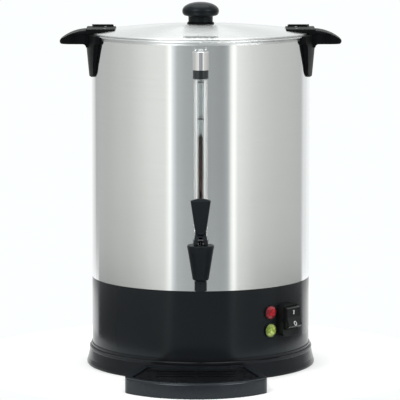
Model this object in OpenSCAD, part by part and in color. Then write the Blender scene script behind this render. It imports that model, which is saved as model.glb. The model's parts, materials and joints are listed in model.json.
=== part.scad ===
/* [Tank] */
// Outer radius of the steel tank
tank_r = 140; // [132:1:150]
// Thickness of the tank's wall and floor
tank_wall = 1; // [0.8:0.1:1.4]
// Height from the top of the black band to the centre of the rolled rim
tank_h = 310.5; // [296:0.5:330]
// Radius of the rolled rim
rim_bead_r = 1.5; // [1.2:0.1:2]
// Height of the tank's floor above the top of the black band
floor_rise = 7; // [6:0.5:10]
// Outer radius of the heating well pressed into the floor
well_r = 32; // [30:0.5:34]
// Depth of the heating well
well_depth = 16; // [13:0.5:18]

/* [Base] */
// Height of the skirt's top edge above the table
skirt_h = 27; // [25:0.5:32]
// How far the skirt's foot stands out past the tank
skirt_spread = 7; // [6:0.5:9]
// Height of the bottom plate above the table
plate_recess = 3.3; // [3:0.1:5]
// Radius of a rubber foot
foot_r = 9; // [7:0.5:10]
// Radius of the circle that the feet and the plate screws stand on
foot_ring_r = 120; // [112:1:122]
// Distance of the thermostats and the fuse from the tank's axis
sensor_ring_r = 78; // [72:1:86]
// Height of each thermostat
thermostat_h = 9; // [8:0.5:10]
// Height of the black band
band_h = 86; // [80:1:96]
// Wall of the moulded base parts
shell_wall = 2.5; // [2:0.1:3]
// Thickness of the bottom plate
plate_t = 1.2; // [1:0.1:2]

/* [Lid] */
// Rise of the lid's dome above its rim
lid_rise = 10; // [7:0.5:14]
// Thickness of the lid
lid_wall = 1; // [0.8:0.1:1.3]
// Radius of the bead round the lid's edge
lid_bead_r = 1.3; // [1:0.1:1.6]
// Depth of the ring under the lid that centres it in the tank
lid_plug_h = 5; // [3:0.5:6]
// Width of the steam vent pressed into the lid
vent_w = 45; // [36:1:54]
// Length of the steam vent from front to back
vent_l = 16.5; // [13:0.5:18]
// Radius of the knob's head
knob_r = 23.6; // [20:0.2:27]
// Radius of the knob's neck
knob_neck_r = 15.7; // [12:0.1:17]
// Height of the knob above its collar
knob_h = 25.7; // [22:0.1:30]
// Height of the collar under the knob
collar_h = 2.3; // [1.5:0.1:4]

/* [Handles] */
// How far a handle's tip stands out from the tank
handle_reach = 40; // [34:1:46]
// Width of a handle's grip
grip_w = 54; // [44:1:60]
// Height of a handle's tongue on the tank's side
tongue_h = 53.5; // [44:0.5:64]
// Width of a handle where it hugs the rim
saddle_w = 124; // [112:1:140]
// Width of a handle's tongue near its foot
tongue_w = 92; // [76:1:100]
// Width of the block on the lid that seats in a handle
lug_w = 64; // [50:1:70]
// Length of that block from its inner end to the handle
lug_l = 37; // [30:1:40]

/* [Gauge] */
// Distance of the level gauge's axis from the tank
gauge_stand = 17; // [15:0.5:20]
// Outer radius of the gauge's glass tube
glass_r = 4.2; // [3.6:0.1:4.8]
// Wall of the glass tube
glass_wall = 1; // [0.8:0.1:1.2]
// Outer radius of the clear guard tube
guard_r = 8.6; // [7.8:0.1:9]
// Wall of the guard tube
guard_wall = 1.2; // [1:0.1:1.6]
// Radius of the gauge's metal cap
cap_r = 9.6; // [9.2:0.1:11]
// Height of the gauge's metal cap
cap_h = 23; // [18:0.5:28]
// Height of the black ring under the cap
cap_ring_h = 10.7; // [8:0.1:14]

/* [Tap] */
// Distance of the tap's axis from the tank
tap_reach = 57; // [52:1:62]
// Height of the tap's shank above the top of the black band
tap_rise = 44; // [40:1:60]
// Outer radius of the threaded shank
shank_r = 10.5; // [9.5:0.1:11.5]
// Height of the gauge's boss above the shank
gauge_boss_h = 13.5; // [12:0.5:20]
// Bore of the shank
shank_bore_r = 7; // [5:0.1:7.5]
// Radius of the tap's body at its top
tap_top_r = 16.6; // [15.6:0.1:18]
// Radius of the tap's body at its lower edge
tap_foot_r = 10; // [9.4:0.1:12]
// Height of the tap's body
tap_body_h = 39.5; // [37:0.5:44]
// Outer radius of the spout
spout_r = 7.65; // [7.2:0.1:8.6]
// Length of the spout below the body
spout_h = 13; // [9:0.5:18]
// Bore of the spout
spout_bore_r = 5.6; // [4.5:0.1:6]
// Height of the bonnet's rim
bonnet_h = 4; // [3.5:0.1:6]
// Height of the lever above its pin
lever_h = 52; // [44:0.5:60]
// Width of the lever at its top
lever_w = 24.6; // [20:0.2:30]
// Width of the lever's neck
lever_neck_w = 13.5; // [11:0.2:15]
// Width of the block at the foot of the lever
lever_foot_w = 17.5; // [16:0.1:19]
// Radius of the pin through the lever
lever_pin_r = 1.5; // [1.2:0.1:1.8]
// Lean of the lever towards the front
lever_lean = 11; // [4:1:18]
// Lift of the valve for a full pull of the lever
valve_lift = 4; // [3:0.1:4.5]
// Full pull of the lever
lever_pull = 28; // [24:1:34]
// Wire thickness of the spring in the bonnet
spring_wire = 0.9; // [0.7:0.1:1]
// Number of curls in the spring
spring_curls = 4; // [3:1:5]

/* [Controls] */
// Angle of the switch round the band from the front
switch_angle = 49.5; // [46:0.5:60]
// Width of the switch's surround
switch_w = 31; // [28:0.5:36]
// Height of the switch's surround
switch_h = 41; // [38:0.5:46]
// How far the surround stands out from the band
switch_proud = 9.5; // [8:0.5:12]
// Depth of the switch's body inside the band
switch_depth = 30; // [26:1:34]
// Width of the rocker
rocker_w = 25.5; // [20:0.5:26]
// Height of the rocker
rocker_h = 29; // [26:0.5:30]
// How far the pressed half of the rocker stands out past its surround
rocker_proud = 5; // [4:0.5:6]
// Height of the rocker's middle above the middle of its surround
rocker_rise = 3; // [0:0.5:3]
// Tilt of the rocker to each side of its middle
rocker_tilt = 9; // [6:0.5:10]
// Angle of the two lamps round the band from the front
lamp_angle = 38.6; // [30:0.2:39]
// Radius of a lamp's bezel
lamp_r = 9.3; // [8:0.1:10]
// Distance between the two lamps
lamp_pitch = 23; // [21:0.5:28]
// How far the lamps' bodies reach in from the tank's outer wall
lamp_reach = 24; // [20:1:28]
// Height of the middle of the controls above the band's lower edge
control_rise = 43; // [38:0.5:50]

/* [Drip tray] */
// Width of the drip tray
tray_w = 174; // [150:1:190]
// How far the tray's front stands out past the skirt
tray_reach = 115.5; // [100:0.5:130]
// Height of the drip tray
tray_h = 19; // [16:0.5:24]
// Wall of the drip tray
tray_wall = 2; // [1.6:0.1:3]
// Radius of the tray's curved front
tray_arc_r = 112; // [106:1:130]
// Radius of the tray's front corners
tray_corner_r = 14; // [12.5:0.5:18]
// Lean of the tray's sides, which draw in towards the urn
tray_lean = 15; // [8:0.5:18]
// Width of the flat rim round the tray's grille
tray_rim = 9; // [7:0.5:10]
// Radius of the rounded edge along the tray's front
tray_edge_r = 3; // [1.5:0.5:4]
// Gap between the tray and the skirt
tray_gap = 3.1; // [3:0.1:5]
// How far the loose tray stands to the left of the middle
tray_shift = 5.6; // [0:0.2:6]
// Thickness of the tray's grille
grille_t = 2; // [1.6:0.1:3]
// Width of a slot in the grille
grille_slot_w = 3.6; // [3:0.1:4.5]
// Length of a slot in the grille
grille_slot_l = 47; // [36:1:50]
// Distance between the rows of slots in the grille
grille_pitch = 17; // [14:0.5:18]
// Radius of a round hole in the grille
grille_hole_r = 2; // [1.5:0.1:2.5]
// Distance between the round holes along the grille's front
grille_hole_pitch = 15; // [12:0.5:18]

/* [Percolator] */
// Outer radius of the pump tube
pump_r = 6; // [5:0.1:7]
// Wall of the pump tube and the basket
pump_wall = 0.8; // [0.6:0.1:1.2]
// Distance of the pump tube's end below the level of the rim
pump_drop = 4.5; // [3:0.5:12]
// Height of the flared part of the pump's foot
flare_rise = 10; // [7:0.5:13]
// Outer radius of the coffee basket
basket_r = 72; // [60:1:84]
// Height of the coffee basket
basket_h = 76; // [60:1:84]
// Height of the tube's end above the basket's lid
basket_drop = 16; // [12:1:30]
// Number of rings of holes in the basket's floor
basket_rings = 4; // [2:1:5]

/* [Fits] */
// Gap between pieces that lie close but don't touch
gap = 0.3; // [0.25:0.05:0.4]
// Running clearance of a pin or stem in its hole
run_gap = 0.05; // [0.03:0.01:0.1]
// Radial clearance round a screw
screw_gap = 0.15; // [0.1:0.05:0.3]

/* [Hidden] */
$fn = 96;

black = [0.09, 0.09, 0.1];
charcoal = [0.22, 0.23, 0.25];
steel = [0.78, 0.79, 0.8];
rubber_grey = [0.25, 0.25, 0.25];

band_top = skirt_h + band_h;
rim_z = band_top + tank_h;
floor_z = band_top + floor_rise;
well_floor_z = floor_z - well_depth;
tank_in_r = tank_r - tank_wall;
rim_r = tank_r - 0.2;
rim_out_r = rim_r + rim_bead_r;

// the moulded base
skirt_r = tank_r + skirt_spread;
band_in_r = tank_r - shell_wall;
ledge_z = plate_recess + plate_t;
ledge_h = 3;
ledge_in_r = foot_ring_r - 7;
plate_r = skirt_r - 2 * shell_wall - 4;
screw_r = 1.8;
screw_head_r = 3.6;
boss_r = 4.5;
boss_h = 12;

// the lid
lid_bead_in = 1.5;
lid_bead_ring_r = rim_r - lid_bead_in;
lid_bead_z = rim_z + sqrt(pow(rim_bead_r + lid_bead_r + gap, 2) - pow(lid_bead_in, 2));
lid_rim_z = lid_bead_z + lid_bead_r;
lid_top_z = lid_rim_z + lid_rise;
dome_r = (pow(lid_bead_ring_r, 2) + pow(lid_rise, 2)) / (2 * lid_rise);
plug_r = tank_in_r - 2;
plug_z = lid_bead_z - lid_bead_r - lid_plug_h;
vent_back_y = -(lid_bead_ring_r - 21);
vent_depth = 3;
knob_z = lid_top_z + collar_h;
knob_screw_r = 2;
knob_screw_l = 12;

// the handles
saddle_in_r = tank_r + gap;
saddle_out_r = tank_r + 6.3;
saddle_top_z = lid_bead_z - lid_bead_r + 0.6;
lug_top_z = lid_top_z - 5.1;
lug_bottom_z = saddle_top_z + gap;
lug_in_x = saddle_out_r - gap - lug_l;
grip_under_z = rim_z - 10.5;
grip_top_z = rim_z + 7;
grip_tip_r = 3.2;
grip_tip_x = tank_r + handle_reach - grip_tip_r;
grip_arc_r = 60.5;
grip_arc_x = saddle_out_r - 3.3;
tongue_z = saddle_top_z - tongue_h;
handle_screw_y = 16;
handle_screw_z = plug_z - screw_head_r;
handle_screw_l = 15;

// the level gauge
gauge_y = -(tank_r + gauge_stand);
cap_top_z = rim_z - 9.5;
cap_z = cap_top_z - cap_h;
cap_ring_z = cap_z - cap_ring_h;
gauge_stud_z = cap_z + cap_h / 2;
gauge_stud_r = 3;
glass_in_r = glass_r - glass_wall;
glass_top_z = cap_z + 8;

// the tap
tap_y = -(tank_r + tap_reach);
shank_z = band_top + tap_rise;
seat_z = shank_z - shank_bore_r;
tap_foot_z = seat_z - 14;
tap_top_z = tap_foot_z + tap_body_h;
bonnet_top_z = tap_top_z + bonnet_h;
chamber_r = 11;
boss_gauge_r = guard_r + 0.9;
gauge_boss_z = shank_z + shank_r + gauge_boss_h;
glass_z = gauge_boss_z - 10;
guard_z = gauge_boss_z - 4;
flange_r = shank_r + 3.5;
washer_t = 2;
stem_r = 2.2;
bonnet_skirt_z = tap_top_z - 7.5;
spring_room_r = 8;
spring_top_z = tap_top_z + 2;
collar_z = bonnet_skirt_z - 1.5;
lever_slot_w = 6.7;
lever_drop = 5.8;
pin_z = bonnet_top_z + gap + lever_drop;
roll_rate = valve_lift / (lever_pull * PI / 180);
lever_depth = 24;
shoulder_h = 10.5;
lean_y = -shoulder_h * tan(lever_lean);
blade_low = [lean_y - 6.2, shoulder_h - 1];
blade_high = [-lever_h * sin(lever_lean) - 4.6, lever_h - 3];
blade_foot_w = 7.4;

// the spring under the bonnet
spring_r = 5.2;
spring_foot_z = collar_z + 1.2 + spring_wire / 2 + 0.1;
spring_head_z = spring_top_z - spring_wire / 2 - 0.1;
curl_steps = 8;
wire_sides = 6;

// the controls
control_z = skirt_h + control_rise;
switch_face_r = tank_r + switch_proud;
rocker_pivot_r = switch_face_r - 2;
rocker_z = control_z + rocker_rise;
rocker_wall = 1.5;
rocker_end_r = rocker_h / 2 - 0.2;
lamp_z = [control_z + lamp_pitch / 2, control_z - lamp_pitch / 2];
lens_r = lamp_r - 1.1;
inlet_z = skirt_h + 16;

// the drip tray
tray_back_r = skirt_r + tray_gap;
tray_front_y = -(skirt_r + tray_reach);
tray_arc_y = tray_front_y + tray_arc_r;
tray_floor_t = 2;
grille_drop = 1.4;
grille_z = tray_h - grille_drop - grille_t;
tray_step = 1.6;

// the percolator
pump_z = well_floor_z + 3;
pump_top_z = rim_z - pump_drop;
pump_l = pump_top_z - pump_z;
basket_top_z = pump_top_z - basket_drop;
basket_z = basket_top_z - basket_h;
sleeve_in_r = pump_r + gap;
sleeve_r = sleeve_in_r + pump_wall;
foot_flare_r = well_r - 5;

// the wiring
terminal_y = tank_r - 48;
terminal_half = 8;

// A ring or tube standing on z = 0
module tube(r_out, r_in, h) {
    difference() {
        cylinder(r = r_out, h = h);
        translate([0, 0, -1])
            cylinder(r = r_in, h = h + 2);
    }
}

// A rectangle with round corners, centred on the origin
module rounded_rect(w, h, r) {
    square([w - 2 * r, h], center = true);
    square([w, h - 2 * r], center = true);
    for (sx = [-1, 1], sy = [-1, 1])
        translate([sx * (w / 2 - r), sy * (h / 2 - r)])
            circle(r = r, $fn = 48);
}

// Turns a piece drawn at the front round to an angle on the band
module round_band(angle, z) {
    rotate([0, 0, angle])
        translate([0, 0, z])
            children();
}

// A round bar along Y from y1 to y2
module bar_y(r, y1, y2) {
    translate([0, y1, 0])
        rotate([-90, 0, 0])
            cylinder(r = r, h = y2 - y1);
}

// A round bar along X from x1 to x2
module bar_x(r, x1, x2) {
    translate([x1, 0, 0])
        rotate([0, 90, 0])
            cylinder(r = r, h = x2 - x1);
}

// ---- tank ----

module tank_section() {
    difference() {
        translate([0, band_top])
            square([tank_r, tank_h]);
        translate([-1, floor_z])
            square([tank_in_r + 1, tank_h]);
        translate([-1, band_top - 1])
            square([tank_in_r + 1, floor_rise - tank_wall + 1]);
        translate([-1, floor_z - tank_wall - 1])
            square([well_r - tank_wall + 1, tank_wall + 2]);
    }
    translate([rim_r, rim_z])
        circle(r = rim_bead_r, $fn = 48);
    translate([well_r - tank_wall, well_floor_z - tank_wall])
        square([tank_wall, well_depth]);
    translate([0, well_floor_z - tank_wall])
        square([well_r, tank_wall]);
}

module tank() {
    color(steel)
        difference() {
            rotate_extrude($fn = 180)
                tank_section();
            translate([0, 0, shank_z])
                bar_y(shank_r + gap, -tank_r - 5, -tank_r + 10);
            translate([0, 0, gauge_stud_z])
                bar_y(gauge_stud_r + gap, -tank_r - 5, -tank_r + 10);
            for (side = [-1, 1], y = [-1, 1])
                translate([side * (tank_r - 5), y * handle_screw_y, handle_screw_z])
                    bar_x(screw_r + gap, -10, 10);
        }
}

// ---- base ----

module base_band() {
    flange_in_r = tank_in_r - 9;
    lip_r = tank_in_r - gap;
    color(black)
        difference() {
            rotate_extrude($fn = 180) {
                translate([band_in_r, skirt_h])
                    square([shell_wall, band_h]);
                translate([flange_in_r, band_top - shell_wall])
                    square([tank_r - 1 - flange_in_r, shell_wall]);
                translate([lip_r - shell_wall, band_top - 1])
                    square([shell_wall, 5]);
            }
            round_band(switch_angle, rocker_z)
                translate([0, -tank_r, 0])
                    cube([
                        rocker_w + 2 * rocker_wall + 2 * gap, 24,
                        rocker_h + 2 * rocker_wall + 2 * gap
                    ], center = true);
            for (z = lamp_z)
                round_band(lamp_angle, z)
                    bar_y(lens_r + 0.8 + gap, -tank_r - 10, -tank_r + 12);
            round_band(180, inlet_z)
                translate([0, -tank_r, 0])
                    cube([inlet_w + 2 * gap, 24, inlet_h + 2 * gap], center = true);
        }
}

inlet_w = 27.4;
inlet_h = 19.6;

module skirt_section() {
    top_r = tank_r + 1.3;
    lip_z = skirt_h - 8;
    difference() {
        union() {
            translate([tank_r - 4, skirt_h - 4])
                square([top_r - tank_r + 4, 4]);
            translate([tank_r - 4, skirt_h - 4.6])
                square([4, 1.2]);
            polygon([
                [tank_r - 4, skirt_h - 3.6], [tank_r + 2.4, skirt_h - 3.6],
                [tank_r + 3.6, skirt_h - 4.6], [tank_r + 3.6, lip_z + 1],
                [tank_r + 3, lip_z], [skirt_r - 1.6, 8],
                [skirt_r, 3], [skirt_r, 0.8],
                [skirt_r - 0.8, 0], [skirt_r - shell_wall, 0],
                [skirt_r - shell_wall - 1.6, 8], [tank_r + 3 - shell_wall, lip_z - 1],
                [tank_r - 4, lip_z + 2]
            ]);
            // spigot that the band drops over
            translate([band_in_r - gap - shell_wall, lip_z + 1])
                square([shell_wall, skirt_h - lip_z + 4]);
            // ledge that the bottom plate is screwed to
            translate([ledge_in_r, ledge_z])
                square([skirt_r - shell_wall - 0.2 - ledge_in_r, ledge_h]);
        }
        // groove under the top edge
        translate([tank_r + 1, skirt_h - 3.4])
            square([5, 1.3]);
    }
}

module base_skirt() {
    color(black)
        difference() {
            union() {
                rotate_extrude($fn = 180)
                    skirt_section();
                for (a = [0 : 90 : 270])
                    rotate([0, 0, a])
                        translate([foot_ring_r, 0, ledge_z])
                            cylinder(r = boss_r, h = boss_h);
            }
            for (a = [0 : 90 : 270])
                rotate([0, 0, a])
                    translate([foot_ring_r, 0, ledge_z - 1])
                        cylinder(r = screw_r + screw_gap, h = boss_h);
        }
}

module base_plate() {
    vent_count = 20;
    color(steel)
        translate([0, 0, ledge_z - plate_t])
            difference() {
                cylinder(r = plate_r, h = plate_t, $fn = 180);
                for (a = [0 : 90 : 270])
                    rotate([0, 0, a])
                        translate([foot_ring_r, 0, -1])
                            cylinder(r = screw_r + screw_gap, h = plate_t + 2);
                for (a = tie_angles)
                    rotate([0, 0, a])
                        translate([tie_ring_r, 0, -1])
                            cylinder(r = tie_r + screw_gap, h = plate_t + 2);
                for (i = [0 : vent_count - 1])
                    rotate([0, 0, i * 360 / vent_count])
                        translate([52, 0, -1])
                            linear_extrude(plate_t + 2)
                                rounded_rect(26, 4, 1.9);
            }
}

module feet() {
    color(rubber_grey)
        for (a = [45 : 90 : 315])
            rotate([0, 0, a])
                translate([foot_ring_r, 0, 0])
                    difference() {
                        cylinder(r1 = foot_r - 0.8, r2 = foot_r, h = ledge_z - plate_t);
                        translate([0, 0, -1])
                            cylinder(r = foot_r / 3, h = 2);
                    }
}

module base_screws() {
    head_h = 1.6;
    color(steel)
        for (a = [0 : 90 : 270])
            rotate([0, 0, a])
                translate([foot_ring_r, 0, ledge_z - plate_t]) {
                    cylinder(r = screw_r, h = boss_h - 1);
                    translate([0, 0, -head_h])
                        cylinder(r = screw_head_r, h = head_h);
                }
}

tie_angles = [60, 180, 300];
tie_ring_r = 98;
tie_r = 2.5;

module tie_rods() {
    nut_h = 2;
    color(steel)
        for (a = tie_angles)
            rotate([0, 0, a])
                translate([tie_ring_r, 0, 0]) {
                    translate([0, 0, ledge_z - plate_t - nut_h])
                        cylinder(r = 5, h = nut_h, $fn = 6);
                    translate([0, 0, ledge_z - plate_t - 0.5])
                        cylinder(r = tie_r, h = floor_z - tank_wall - ledge_z + plate_t + 0.5);
                    translate([0, 0, floor_z - tank_wall - 3])
                        cylinder(r = 7, h = 3);
                }
}

// ---- handles ----

// Side outline of the grip, from the tank to the tip
module grip_profile() {
    fillet = 4;
    arc_z = grip_top_z - grip_arc_r;
    tip_dx = grip_tip_x - grip_arc_x;
    tip_z = arc_z + sqrt(pow(grip_arc_r - grip_tip_r, 2) - pow(tip_dx, 2));
    tip_a = atan2(tip_z - arc_z, tip_dx);
    top = [for (i = [0 : 14])
        let (a = 90 - i * (90 - tip_a) / 14)
            [grip_arc_x + grip_arc_r * cos(a), arc_z + grip_arc_r * sin(a)]];
    tip = [for (i = [0 : 8])
        let (a = tip_a - i * (tip_a + 90) / 8)
            [grip_tip_x + grip_tip_r * cos(a), tip_z + grip_tip_r * sin(a)]];
    under = [for (i = [0 : 5])
        let (a = 90 + i * 90 / 5)
            [saddle_out_r + fillet - 0.4 + fillet * cos(a), tip_z - grip_tip_r - fillet + fillet * sin(a)]];
    polygon(concat(
        [[saddle_in_r - 6, grip_top_z]], top, tip, under,
        [[saddle_in_r - 6, tip_z - grip_tip_r - fillet]]
    ));
}

// The grip seen from above: wide at the tank, round at the tip
module grip_plan() {
    tip_r = 16;
    tip_x = tank_r + handle_reach;
    flare = [for (i = [0 : 6])
        let (t = i / 6)
            [saddle_in_r - 6 + 24 * t, grip_w / 2 + 9 * pow(1 - t, 2)]];
    corner = [for (i = [0 : 8])
        let (a = 90 - i * 90 / 8)
            [tip_x - tip_r + tip_r * cos(a), grip_w / 2 - tip_r + tip_r * sin(a)]];
    half = concat(flare, corner);
    polygon(concat(half, [for (i = [len(half) - 1 : -1 : 0]) [half[i][0], -half[i][1]]]));
}

// The grip seen along its length, with eased top edges
module grip_end() {
    half_w = grip_w / 2 + 10;
    ease = 5;
    translate([-half_w, tongue_z])
        square([2 * half_w, grip_top_z - ease - tongue_z]);
    translate([-grip_w / 2 + ease, tongue_z])
        square([grip_w - 2 * ease, grip_top_z - tongue_z]);
    for (side = [-1, 1])
        translate([side * (grip_w / 2 - ease), grip_top_z - ease])
            circle(r = ease, $fn = 48);
}

// The part of the handle that hugs the tank, seen from the side
module hug_outline() {
    corner = 13;
    shoulder_z = saddle_top_z - 9;
    polygon([
        [-saddle_w / 2, saddle_top_z], [saddle_w / 2, saddle_top_z],
        [saddle_w / 2, shoulder_z + 1.5], [saddle_w / 2 - 1.6, shoulder_z - 1],
        [saddle_w / 2 - 5, shoulder_z - 2.5],
        [tongue_w / 2, tongue_z + corner], [-tongue_w / 2, tongue_z + corner],
        [-saddle_w / 2 + 5, shoulder_z - 2.5],
        [-saddle_w / 2 + 1.6, shoulder_z - 1], [-saddle_w / 2, shoulder_z + 1.5]
    ]);
    for (side = [-1, 1])
        translate([side * (tongue_w / 2 - corner), tongue_z + corner])
            circle(r = corner, $fn = 64);
    translate([-tongue_w / 2 + corner, tongue_z])
        square([tongue_w - 2 * corner, corner + 1]);
}

// Where the handle's wrap lies round the tank
module hug_ring() {
    rotate_extrude($fn = 180)
        polygon([
            [saddle_in_r, tongue_z], [saddle_in_r + 2.5, tongue_z],
            [saddle_out_r, grip_under_z - 3], [saddle_out_r, saddle_top_z],
            [rim_out_r + gap, saddle_top_z], [rim_out_r + gap, rim_z - 2.2],
            [saddle_in_r, rim_z - 3.6]
        ]);
}

module yz_extrude(x1, x2) {
    translate([x1, 0, 0])
        rotate([90, 0, 90])
            linear_extrude(x2 - x1)
                children();
}

module handle() {
    tip_x = tank_r + handle_reach;
    difference() {
        union() {
            intersection() {
                hug_ring();
                yz_extrude(tank_r / 2, tip_x)
                    hug_outline();
            }
            difference() {
                intersection() {
                    translate([0, grip_w, 0])
                        rotate([90, 0, 0])
                            linear_extrude(2 * grip_w)
                                grip_profile();
                    translate([0, 0, tongue_z])
                        linear_extrude(grip_top_z)
                            grip_plan();
                    yz_extrude(tank_r / 2, tip_x + 1)
                        grip_end();
                }
                // the tank, its rim and the lid's block keep their room
                rotate_extrude($fn = 180)
                    polygon([
                        [0, 0], [saddle_in_r, 0], [saddle_in_r, rim_z - 3.6],
                        [rim_out_r + gap, rim_z - 2.2], [rim_out_r + gap, saddle_top_z],
                        [saddle_out_r - 0.6, saddle_top_z], [saddle_out_r - 0.6, grip_top_z + 5],
                        [0, grip_top_z + 5]
                    ]);
                translate([0, -grip_w, saddle_top_z])
                    cube([saddle_out_r, 2 * grip_w, grip_top_z]);
            }
        }
        for (y = [-1, 1])
            translate([0, y * handle_screw_y, handle_screw_z])
                bar_x(screw_r + screw_gap, tank_r - 10, tank_r + handle_screw_l - 1);
    }
}

module handle_right() {
    color(black)
        handle();
}

module handle_left() {
    color(black)
        mirror([1, 0, 0])
            handle();
}

module handle_screws() {
    head_x = sqrt(pow(tank_in_r, 2) - pow(handle_screw_y + screw_head_r, 2)) - 0.1;
    color(steel)
        for (side = [-1, 1], y = [-1, 1])
            scale([side, 1, 1])
                translate([0, y * handle_screw_y, handle_screw_z]) {
                    bar_x(screw_r, head_x - 1, tank_r + handle_screw_l - 2);
                    bar_x(screw_head_r - 0.4, head_x - 2, head_x);
                }
}

// ---- lid ----

function dome_z(r) = lid_top_z - dome_r + sqrt(pow(dome_r, 2) - pow(r, 2));

// Half of the lid's outline under its dome, moved up by a clearance
module dome_half(up, edge_r, low) {
    intersection() {
        translate([0, lid_top_z - dome_r])
            circle(r = dome_r + up, $fn = 1440);
        translate([0, low])
            square([edge_r, lid_top_z - low + 5]);
    }
}

// A round-cornered block through the lid at the vent
module vent_block(grow, low, high) {
    translate([0, vent_back_y - vent_l / 2, low])
        linear_extrude(high - low)
            rounded_rect(vent_w + 2 * grow, vent_l + 2 * grow, 3 + grow);
}

module lid_shell() {
    slot_count = 5;
    vent_floor_z = dome_z(-vent_back_y + vent_l) - vent_depth;
    slot_w = (vent_w - 10) / slot_count - 2;
    color(steel)
        difference() {
            rotate_extrude($fn = 180) {
                dome_half(0, lid_bead_ring_r, lid_bead_z);
                translate([0, plug_z])
                    square([plug_r, lid_bead_z - plug_z + 0.5]);
                translate([lid_bead_ring_r, lid_bead_z])
                    circle(r = lid_bead_r, $fn = 48);
            }
            // hollow of the lid, less the walls of the vent
            difference() {
                rotate_extrude($fn = 180)
                    dome_half(-lid_wall, plug_r - lid_wall, plug_z - 1);
                vent_block(0, vent_floor_z - lid_wall, lid_top_z);
            }
            vent_block(-lid_wall, vent_floor_z, lid_top_z + 1);
            translate([0, 0, lid_top_z - 10])
                cylinder(r = knob_screw_r + screw_gap, h = 20);
            // steam slots in the back wall of the vent
            for (i = [0 : slot_count - 1])
                translate([
                    (i - (slot_count - 1) / 2) * (slot_w + 2), vent_back_y,
                    vent_floor_z + 1.6
                ])
                    cube([slot_w, 4, 2.4], center = true);
            for (side = [-1, 1], y = [-1, 1])
                translate([side * rivet_x, y * rivet_y, lid_bead_z])
                    cylinder(r = rivet_r + screw_gap, h = lid_rise);
        }
}

rivet_r = 1.6;
rivet_x = lid_bead_ring_r - 16;
rivet_y = 17;

module lid_knob() {
    head_z = knob_h * 0.55;
    lower = [for (i = [0 : 8])
        let (a = -90 + i * 90 / 8)
            [knob_r - 4.5 + 4.5 * cos(a), head_z + 6 * sin(a)]];
    upper = [for (i = [1 : 14])
        let (a = i * 90 / 14)
            [knob_r * pow(cos(a), 0.9), head_z + (knob_h - head_z) * sin(a)]];
    color(black)
        translate([0, 0, knob_z])
            difference() {
                rotate_extrude()
                    polygon(concat(
                        [[0, 0], [knob_neck_r - 0.5, 0], [knob_neck_r, 0.6],
                         [knob_neck_r, head_z - 7.4], [knob_neck_r + 1.2, head_z - 6]],
                        lower, [for (p = upper) [max(p[0], 0), p[1]]]
                    ));
                translate([0, 0, -1])
                    cylinder(r = knob_screw_r + screw_gap, h = knob_screw_l + 2);
            }
}

module knob_collar() {
    color(black)
        translate([0, 0, lid_top_z])
            difference() {
                rotate_extrude()
                    polygon([
                        [0, 0], [knob_neck_r + 1.6, 0], [knob_neck_r + 1.6, collar_h - 0.8],
                        [knob_neck_r + 0.8, collar_h], [0, collar_h]
                    ]);
                translate([0, 0, -1])
                    cylinder(r = knob_screw_r + screw_gap, h = collar_h + 2);
            }
}

module knob_screw() {
    head_h = 2.4;
    head_r = 6;
    under_z = dome_z(head_r) - lid_wall - 0.01;
    color(steel)
        union() {
            translate([0, 0, under_z - head_h])
                cylinder(r = head_r, h = head_h);
            translate([0, 0, under_z - 1])
                cylinder(r = knob_screw_r, h = lid_wall + collar_h + knob_screw_l + 1);
        }
}

// One block on the right of the lid
module lug() {
    ridge_h = 2.4;
    lug_plan_r = 5;
    lug_out_x = lug_in_x + lug_l;
    difference() {
        union() {
            intersection() {
                translate([lug_in_x, -lug_w, lug_bottom_z])
                    cube([lug_l, 2 * lug_w, lug_top_z + ridge_h - lug_bottom_z]);
                translate([lug_in_x + lug_plan_r, 0, lug_bottom_z])
                    linear_extrude(lug_top_z - lug_bottom_z)
                        translate([lug_l - lug_plan_r, 0])
                            rounded_rect(2 * lug_l, lug_w, lug_plan_r);
            }
            // raised back edge
            translate([lug_in_x + 3, lug_w / 2 - 9, lug_top_z - 1])
                linear_extrude(ridge_h + 1)
                    polygon([[0, 0], [lug_l - 12, 0], [lug_l - 9, 9], [2, 9]]);
        }
        rotate_extrude($fn = 180)
            union() {
                dome_half(0.1, lid_bead_ring_r + lid_bead_r + gap, rim_z);
                translate([0, rim_z])
                    square([lid_bead_ring_r + lid_bead_r + gap, lid_rim_z + 0.1 - rim_z]);
            }
        for (y = [-1, 1])
            translate([rivet_x, y * rivet_y, 0])
                cylinder(r = rivet_r + screw_gap, h = dome_z(rivet_x) + 3.4);
    }
}

module lid_lugs() {
    color(black)
        for (side = [-1, 1])
            scale([side, 1, 1])
                lug();
}

module lug_rivets() {
    under_z = dome_z(rivet_x + 4) - lid_wall - 0.1;
    color(steel)
        for (side = [-1, 1], y = [-1, 1])
            translate([side * rivet_x, y * rivet_y, under_z - 1.4]) {
                cylinder(r = 3.4, h = 1.4);
                cylinder(r = rivet_r, h = dome_z(rivet_x) + 3.2 - under_z + 1.4);
            }
}

// ---- percolator ----

module pump_tube() {
    stop_h = 3;
    color(steel) {
        translate([0, 0, pump_z])
            tube(pump_r, pump_r - pump_wall, pump_l);
        translate([0, 0, basket_z - stop_h - gap])
            tube(pump_r + 2.6, pump_r - 0.1, stop_h);
    }
}

module pump_foot() {
    neck_z = pump_z + flare_rise;
    color(steel)
        rotate_extrude() {
            polygon([
                [foot_flare_r - pump_wall, well_floor_z + gap], [foot_flare_r, well_floor_z + gap],
                [foot_flare_r, well_floor_z + 3], [pump_r + 3, neck_z],
                [pump_r + 3, neck_z + 8], [pump_r + run_gap, neck_z + 8],
                [pump_r + run_gap, neck_z], [foot_flare_r - pump_wall, well_floor_z + 2.6]
            ]);
        }
}

module pump_valve() {
    color(steel)
        translate([0, 0, well_floor_z + gap])
            tube(pump_r + 5, 3, 0.8);
}

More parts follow.
